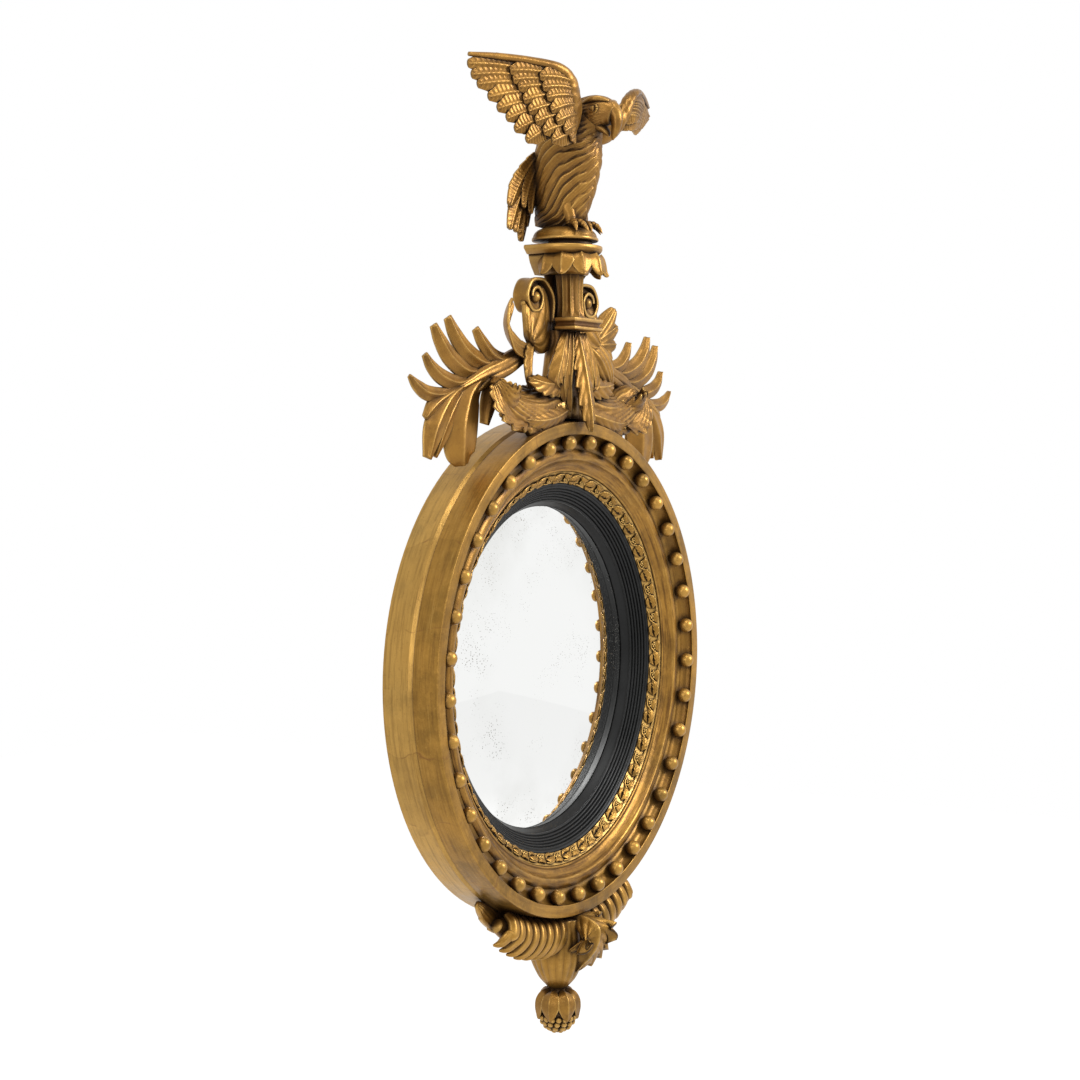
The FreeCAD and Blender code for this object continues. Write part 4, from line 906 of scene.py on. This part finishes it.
for side in (-1, 1):
    eagle_forms.append(ball((side * 18.4, 99, 683), 4.4, 16))
    rim = []
    for turn in np.linspace(0, 2 * math.pi, 25):
        rim.append((side * (20.2 - 1.4 * abs(math.sin(turn))), 99 + 6.4 * math.cos(turn),
            683 + 5.4 * math.sin(turn)))
    eagle_forms.append(limb(rim, [1.7] * 25, [1.7] * 25, (side, 0, 0), 48, 10))
    eagle_forms.append(limb([(side * 8, 114, 692), (side * 16, 107, 694.5), (side * 20.5, 97, 694),
        (side * 19, 84, 690)], [3.2, 4.6, 4.4, 2], [2.4, 3.6, 3.4, 1.6], (0, 0, 1), 30, 16))
    eagle_forms.append(limb([(side * 13, 56, 582), (side * 14, 60, 568), (side * 14, 64, 556),
        (side * 14, 66, 547)], [13, 10.5, 7.5, 6.5], [14, 11.5, 8, 7], FRONT, 40, 36, thigh))
    for spread, reach in ((-0.62, 22), (0.0, 26), (0.62, 22), (2.6, 15)):
        heading = np.array([side * 0.12 + math.sin(spread), math.cos(spread), 0])
        heading /= np.linalg.norm(heading)
        root = np.array([side * 14, 66, 547])
        stations = ((0.0, 0.0), (0.35, 1.5), (0.62, 0.0), (0.84, -4.5), (1.0, -10.5))
        line = [root + heading * reach * far + np.array([0, 0, up]) for far, up in stations]
        eagle_forms.append(limb(line, [4.8, 4.2, 3.8, 2.8, 0.5], [4.6, 4.2, 3.6, 2.6, 0.5],
            (0, 0, 1), 40, 18, lambda t, turn: 0.35 * np.sin(34 * t) * (t < 0.7)))
eagle_gilding = gilding("eagle_gilding", hollow=0.011, shade_strength=1.5, edge_light_and_shade=0.7, worn=0.42)
finished(carving("eagle_body_gilt", eagle_forms), eagle_gilding, "eagle_body")


def barbed(pairs):
    """A feather's face: a raised quill and cut barbs that lean to the tip."""
    def face(t, v):
        barb = (pairs * t - 1.3 * np.abs(v) + 0.10 * np.sin(5 * t) + 0.15 * (v > 0)) % 1
        cut = np.minimum(1, barb / 0.66) ** 0.9 * np.minimum(1, (1 - barb) / 0.2)
        return 1.2 * np.exp(-(v / 0.13) ** 2) + (cut - 0.85) * np.minimum(1, np.abs(v) * 4)
    return face


WING_PLAN = [(-250, 36), (-216, 43), (-155, 68), (-110, 87), (-74, 97), (-45, 86), (-14, 58)]


def on_wing(across, up, lift):
    """A place on the bowed wing, lifted off its face."""
    plan = through(WING_PLAN, 200)
    return (across, float(np.interp(across, plan[:, 0], plan[:, 1])) + lift, up)


def feather(root, tip, width, lift, pairs):
    """One feather from root to tip, each (across, up), bowed a little in the wing's face."""
    root, tip = np.array(root, float), np.array(tip, float)
    normal = np.array([tip[1] - root[1], root[0] - tip[0]])
    line = []
    for at in np.linspace(0, 1, 7):
        place = root + (tip - root) * at + normal * 0.05 * math.sin(math.pi * at)
        line.append(on_wing(place[0], place[1], lift + 1.6 * at))
    widths = np.array([0.7, 0.9, 1.0, 1.06, 1.10, 1.0, 0.42]) * width
    return blade(line, widths, FRONT, 3.4, 80, 19, -0.10, (4.5, 0.07), -0.34, barbed(pairs), 0.5)


def spread_wing(raised):
    """The left wing; its lower feathers are shorter by a share of the raise, in millimetres."""
    rows = [
        # the flight feathers, then two rows of shorter ones over them, and the small coverts
        ([(-112, 708), (-112, 703), (-108, 697), (-104, 690), (-100, 682), (-96, 674), (-90, 665),
            (-80, 657)], [(-209, 711), (-204, 699), (-196, 689), (-182, 676), (-170, 664),
            (-158, 654), (-147, 642), (-132, 631)], 25, 0.0, 15),
        ([(-90, 709), (-90, 703), (-86, 697), (-82, 690), (-78, 680), (-72, 669), (-62, 659),
            (-50, 650)], [(-158, 709), (-154, 699), (-147, 691), (-140, 677), (-133, 665),
            (-124, 654), (-113, 643), (-100, 634)], 24, 2.6, 12),
        ([(-72, 706), (-70, 698), (-66, 690), (-60, 682), (-54, 671), (-46, 661), (-36, 654)],
            [(-122, 706), (-118, 694), (-112, 683), (-106, 669), (-98, 657), (-86, 647),
            (-74, 640)], 22, 5.0, 9),
    ]
    forms = []
    for roots, tips, width, lift, pairs in rows:
        for index in reversed(range(len(tips))):
            share = index / (len(tips) - 1)
            tip = (tips[index][0], tips[index][1] + raised * share)
            root = (roots[index][0], roots[index][1] + 0.5 * raised * share)
            forms.append(feather(root, tip, width, lift - 0.35 * index, pairs))
    # the bare leading edge: a thick rolled bar from the shoulder to the tip, combed below
    bar = [on_wing(x, z, 1.0) for x, z in ((-6, 648), (-24, 656), (-44, 668), (-60, 688),
        (-71, 707), (-92, 719.5), (-130, 723.5), (-172, 723.5), (-207, 722))]
    broad = np.array([20, 21, 20, 15, 11, 7, 5, 4.2, 2.5]) * (1 - raised / 160)
    forms.append(limb(bar, list(broad), [8, 9, 9, 9, 8.5, 7.5, 6, 5, 3], FRONT, 110, 40,
        lambda t, turn: 0.9 * (np.minimum(1, ((16 * t + 1.4 * np.sin(turn)) % 1) / 0.7) - 0.8)
        * np.clip(1.6 - 2 * t, 0, 1)))
    return forms


wing_gilding = gilding("wing_gilding", hollow=0.008, shade_strength=1.55, edge_light_and_shade=0.5, worn=0.40)
finished(carving("wing_left_gilt", spread_wing(0)), wing_gilding, "eagle_wing_left")
finished(carving("wing_right_gilt", flipped(spread_wing(50))), wing_gilding, "eagle_wing_right")

tail = []
for root, tip, width, depth in (((-6, 622), (-28, 545), 17, 9.5), ((-8, 626), (-42, 526), 18, 11),
        ((-12, 628), (-56, 536), 17, 12.5), ((-16, 630), (-72, 538), 18, 14),
        ((-18, 632), (-76, 566), 18, 16.5), ((-10, 632), (-48, 566), 15, 18.5),
        ((-6, 630), (-34, 560), 14, 20)):
    line = [(root[0] + (tip[0] - root[0]) * at - 5 * math.sin(math.pi * at), depth,
        root[1] + (tip[1] - root[1]) * at) for at in np.linspace(0, 1, 6)]
    tail.append(blade(line, [width * share for share in (0.7, 1.05, 1.3, 1.45, 1.35, 0.6)], FRONT,
        4, 70, 19, -0.12, (5, 0.12), -0.3, barbed(16), 0.5))
finished(carving("tail_gilt", tail), wing_gilding, "eagle_tail")

# ---------------------------------------------------------------- pendant
# Below the drum hangs a carved pendant: a leaf rolled outward on each side, a serrated leaf
# curling forward, a veined cup, a turned neck and a bud that opens over a bunch of berries.


def cup_veins(turn, height):
    """Veins round the cup that sway as they rise."""
    sway = 0.5 * np.sin(3 * turn) + 0.012 * height * np.sin(turn)
    return 1.9 * (np.abs(np.sin(6.5 * turn + sway)) ** 0.7 - 0.75)


PENDANT_DEPTH = 40
cup_turn = once_round(120)
cup_levels = []
for height, radius in zip(np.linspace(-312, -400, 60),
        through([31, 33, 35, 36, 35.5, 33, 28.5, 22.5, 12.5], 60)[:, 0]):
    ripple = min(1, (height + 400) / 26) * cup_veins(cup_turn, height)
    cup_levels.append((round_plan(radius + ripple, PENDANT_DEPTH, cup_turn), height))
pendant_gilding = gilding("pendant_gilding", hollow=0.009, shade_strength=1.1, edge_light_and_shade=0.9)
finished(stacked("pendant_cup_gilt", cup_levels), pendant_gilding, "pendant_cup")

bud_profile = [(12.6, -398.5), (10.8, -401), (10.2, -403), (11.5, -405.5), (17, -408.5),
    (20, -414), (21, -424), (21, -434), (18, -442), (12, -448), (4, -450)]
bud_forms = [layered([(round_plan(radius, PENDANT_DEPTH, once_round(64)), height)
    for radius, height in bud_profile])]
for petal in range(7):
    angle = 2 * math.pi * (petal + 0.32) / 7
    aim = np.array([math.cos(angle), math.sin(angle), 0])
    line = [aim * reach + (0, PENDANT_DEPTH, height)
        for reach, height in ((10, -403.4), (20, -406.0), (26.0, -414), (27.2, -424), (25.6, -433),
        (24.0, -440))]
    bud_forms.append(blade(line, [7, 18, 24, 23, 14, 2], tuple(aim), 3.4, 46, 19, -0.30,
        relief=veined(2, 0.15, rib=0.5), edge=0.5))
finished(carving("bud_gilt", bud_forms), carved_gilding, "bud")

berries = []
for ring, height, number in ((21.0, -437.5, 17), (18.6, -443.6, 14), (14.2, -449.4, 10),
        (7.8, -453.4, 6), (0.0, -454.6, 1)):
    for index in range(number):
        turn = 2 * math.pi * (index + (number % 3) * 0.4) / number
        berries.append(ball((ring * math.cos(turn), PENDANT_DEPTH + ring * math.sin(turn), height),
            4.1, 12))
finished(carving("berries_gilt", berries), pendant_gilding, "berry_cluster")

curl = [
    limb([(-24, 42, -322), (-62, 44, -320), (-98, 46, -313), (-126, 45, -303), (-142, 43, -296)],
        [17, 17, 16, 13, 8], [12, 14, 14, 12, 8], FRONT, 90, 40),
    blade([(-40, 30, -318), (-80, 30, -312), (-120, 31, -298), (-152, 34, -279), (-174, 37, -265)],
        [22, 28, 28, 24, 9], (0, 1, -0.1), 9, 70, 21, -0.2, (5, 0.12), -0.3,
        swept_ribs(4, 1.4, 0.2), 0.5),
]
# long fat strands lie over the roll side by side and end in drooping tips
for across, top, tip in ((-30, -309, -349), (-46, -308, -350), (-62, -306, -347),
        (-78, -303, -344), (-94, -299, -340), (-110, -294, -333), (-125, -289, -325),
        (-138, -284, -316)):
    curl.append(limb([(across + 9, 50, top), (across + 7, 59, top - 8),
        (across + 3, 62.5, top - 20), (across - 3, 59, tip + 9), (across - 9, 52, tip + 1),
        (across - 16, 46, tip - 1)], [6, 7.6, 8.2, 7.6, 5.4, 1.2], [5, 6, 6.5, 6, 4.6, 1.2], FRONT,
        50, 26, lambda t, turn: 0.35 * np.cos(6 * turn)))
finished(carving("curl_left_gilt", curl), pendant_gilding, "pendant_curl_left")
finished(carving("curl_right_gilt", flipped(curl)), pendant_gilding, "pendant_curl_right")

bracket = []
for across in np.linspace(-104, 104, 66):
    top = -math.sqrt(309.7 ** 2 - across ** 2)
    low = float(np.interp(abs(across), [0, 28, 52, 82, 104], [-352, -351, -327, -311, -294.5]))
    low = min(low, top - 2.5)
    ridge = 1.4 * abs(math.sin(across * 0.21))
    section = [(36 + ridge, top), (37.5 + ridge, (top + low) / 2), (34 + ridge, low), (2, low),
        (0.4, low + 1.5), (0.4, top)]
    bracket.append([(across, depth, height) for depth, height in section])
finished(carving("bracket_gilt", [np.array(bracket)]), pendant_gilding, "pendant_bracket")

curled = blade([(0, 58, -309), (0, 80, -311), (0, 97, -320), (0, 96, -338), (0, 85, -356),
    (0, 66, -376)], [34, 58, 68, 62, 44, 7], (-0.25, 0.75, 0.35), 5, 120, 35, -0.34, (7, 0.46),
    0.6, veined(8, 2.6, 0.9, 2.4), 0.5)
finished(carving("pendant_leaf_gilt", [curled]), pendant_gilding, "pendant_leaf")

# ---------------------------------------------------------------- back and hidden parts
# The pine carcass and backboard were left bare and have gone brown; dowels are beech. Round
# steel screws hold the board and the two strap hangers, and felt packs the glass.


def bare_timber(name, pale, dark, ring_scale, stretch):
    """Old unpainted timber: long grain, growth rings, pores and dust."""
    timber = Finish(name)
    along = timber.add("ShaderNodeMapping", Vector=timber.place, Scale=stretch).outputs[0]
    growth = timber.add("ShaderNodeTexWave", {"wave_type": "BANDS", "bands_direction": "X"},
        Vector=along, Scale=ring_scale, Distortion=4.0, Detail=4.0,
        Phase_Offset=timber.sum("MULTIPLY", timber.noise(9, 4, 0.55, stretch=(1, 1, 0.10)), 34.0))
    pores = timber.noise(900, 2, 0.6, stretch=(1, 1, 0.05))
    stain = timber.noise(6, 5, 0.6)
    tone = timber.blend(timber.spread(growth.outputs[1], 0.1, 1.0, 0.1, 0.8), pale, dark)
    tone = timber.blend(timber.spread(pores, 0.55, 0.75, 0.0, 0.5), tone, dark)
    tone = timber.blend(timber.spread(stain, 0.45, 0.75, 0.0, 0.6), tone, BROWN_GLAZE_AND_SHADE)
    return timber.connect(Base_Color=tone, Roughness=timber.spread(stain, 0.3, 0.7, 0.66, 0.84),
        Normal=timber.bump(0.3, 0.0005, timber.sum("ADD", growth.outputs[1], pores)))


pine = bare_timber("old_pine", (0.33, 0.20, 0.095, 1), (0.21, 0.11, 0.048, 1), 62, (1, 1, 0.07))
beech = bare_timber("beech_dowel", (0.40, 0.24, 0.12, 1), (0.24, 0.13, 0.06, 1), 160, (1, 1, 0.2))
coated(pine, "carcass_ring", "backboard")
coated(beech, "crest_dowels", "pendant_dowels", "wing_dowels")

steel = Finish("dull_steel")
scratch = steel.noise(700, 4, 0.6, stretch=(1, 1, 0.06))
rust = steel.noise(70, 5, 0.65)
metal = steel.blend(steel.spread(scratch, 0.3, 0.7), (0.20, 0.195, 0.185, 1), (0.34, 0.33, 0.32, 1))
metal = steel.blend(steel.spread(rust, 0.56, 0.70, 0.0, 0.8), metal, (0.12, 0.042, 0.014, 1))
steel.connect(Base_Color=metal, Metallic=steel.spread(rust, 0.56, 0.70, 0.95, 0.2),
    Roughness=steel.spread(rust, 0.4, 0.7, 0.36, 0.75), Normal=steel.bump(0.3, 0.0003, rust))
coated(steel.material, "backboard_screws", "hanger_screws", "hanger_strap_left",
    "hanger_strap_right", "hanger_ring_left", "hanger_ring_right")

felt = Finish("grey_felt")
nap = felt.noise(1500, 4, 0.7)
felt.connect(Base_Color=felt.blend(felt.spread(nap, 0.35, 0.65), (0.09, 0.085, 0.08, 1),
    (0.20, 0.19, 0.175, 1)), Roughness=0.95, Normal=felt.bump(0.8, 0.0006, nap))
coated(felt.material, "glass_packing")

# ---------------------------------------------------------------- camera, light and floor
# The view stands low to the left of the frame and looks slightly down. Large soft lamps
# stand in front, to the right and above; the floor is plain and far below the wall piece.

CAMERA_PLACE = (-2.12040, -1.36710, 0.25480)
AIM_TURN = math.radians(-57.4306)
AIM_FALL = math.radians(2.1916)
AIM_ROLL = math.radians(0.0952)


def level_rotation(turn, fall, roll):
    """Rotation of a camera from its compass turn, its fall below level and its roll."""
    forward = np.array([-math.sin(turn) * math.cos(fall), math.cos(turn) * math.cos(fall),
        -math.sin(fall)])
    right = np.cross(forward, (0, 0, 1))
    right /= np.linalg.norm(right)
    above = np.cross(right, forward)
    across = math.cos(roll) * right + math.sin(roll) * above
    upward = math.cos(roll) * above - math.sin(roll) * right
    return Matrix(np.column_stack([across, upward, -forward]).tolist()).to_euler()


lens = bpy.data.cameras.new("view")
lens.lens = 67.17
lens.sensor_width = 36
lens.clip_end = 60
camera = bpy.data.objects.new("view", lens)
camera.location = CAMERA_PLACE
camera.rotation_euler = level_rotation(AIM_TURN, AIM_FALL, AIM_ROLL)
bpy.context.scene.collection.objects.link(camera)
bpy.context.scene.camera = camera


def lamp(name, place, aim, power, across, tall):
    """A soft rectangular lamp that points at a place on the object."""
    light = bpy.data.lights.new(name, "AREA")
    light.shape = "RECTANGLE"
    light.energy = power
    light.size = across
    light.size_y = tall
    holder = bpy.data.objects.new(name, light)
    holder.location = place
    holder.rotation_euler = (Vector(aim) - Vector(place)).to_track_quat("-Z", "Y").to_euler()
    bpy.context.scene.collection.objects.link(holder)


lamp("front_lamp", (1.3, -2.7, 1.5), (0, 0, 0.1), 88, 1.1, 1.1)
lamp("top_lamp", (-0.6, -0.9, 2.6), (0, 0, 0.2), 22, 1.3, 0.8)
lamp("side_lamp", (-3.0, -0.6, 0.9), (0, 0, 0), 26, 1.2, 1.8)

world = bpy.data.worlds.new("studio")
bpy.context.scene.world = world
world.use_nodes = True
studio = Nodes(world.node_tree)
path = studio.add("ShaderNodeLightPath").outputs
shown = studio.sum("MAXIMUM", path["Is Glossy Ray"],
    studio.sum("MAXIMUM", path["Is Camera Ray"], path["Is Transmission Ray"]))
background = studio.nodes["Background"].inputs
studio.set(background["Strength"], studio.spread(shown, 0.0, 1.0, 0.25, 1.0))
studio.set(background["Color"], (1, 1, 1, 1))

FLOOR_HALF = 9000
FLOOR_HEIGHT = -1750
floor = mesh_piece("floor", [(side * FLOOR_HALF, front * FLOOR_HALF, FLOOR_HEIGHT)
    for side, front in ((-1, 1), (1, 1), (1, -1), (-1, -1))], [(0, 1, 2, 3)], False)
pale = Finish("pale_floor")
floor_path = pale.add("ShaderNodeLightPath").outputs
floor_seen = pale.sum("MAXIMUM", floor_path["Is Camera Ray"],
    pale.sum("MULTIPLY", pale.sum("MAXIMUM", floor_path["Is Glossy Ray"],
    floor_path["Is Transmission Ray"]), 0.92))
pale.connect(Base_Color=(0.9, 0.9, 0.9, 1), Roughness=0.9, Specular_IOR_Level=0.0,
    Emission_Color=(1, 1, 1, 1), Emission_Strength=pale.sum("MULTIPLY", floor_seen, 0.79))
floor.data.materials.append(pale.material)

bpy.context.scene.view_settings.view_transform = "Standard"
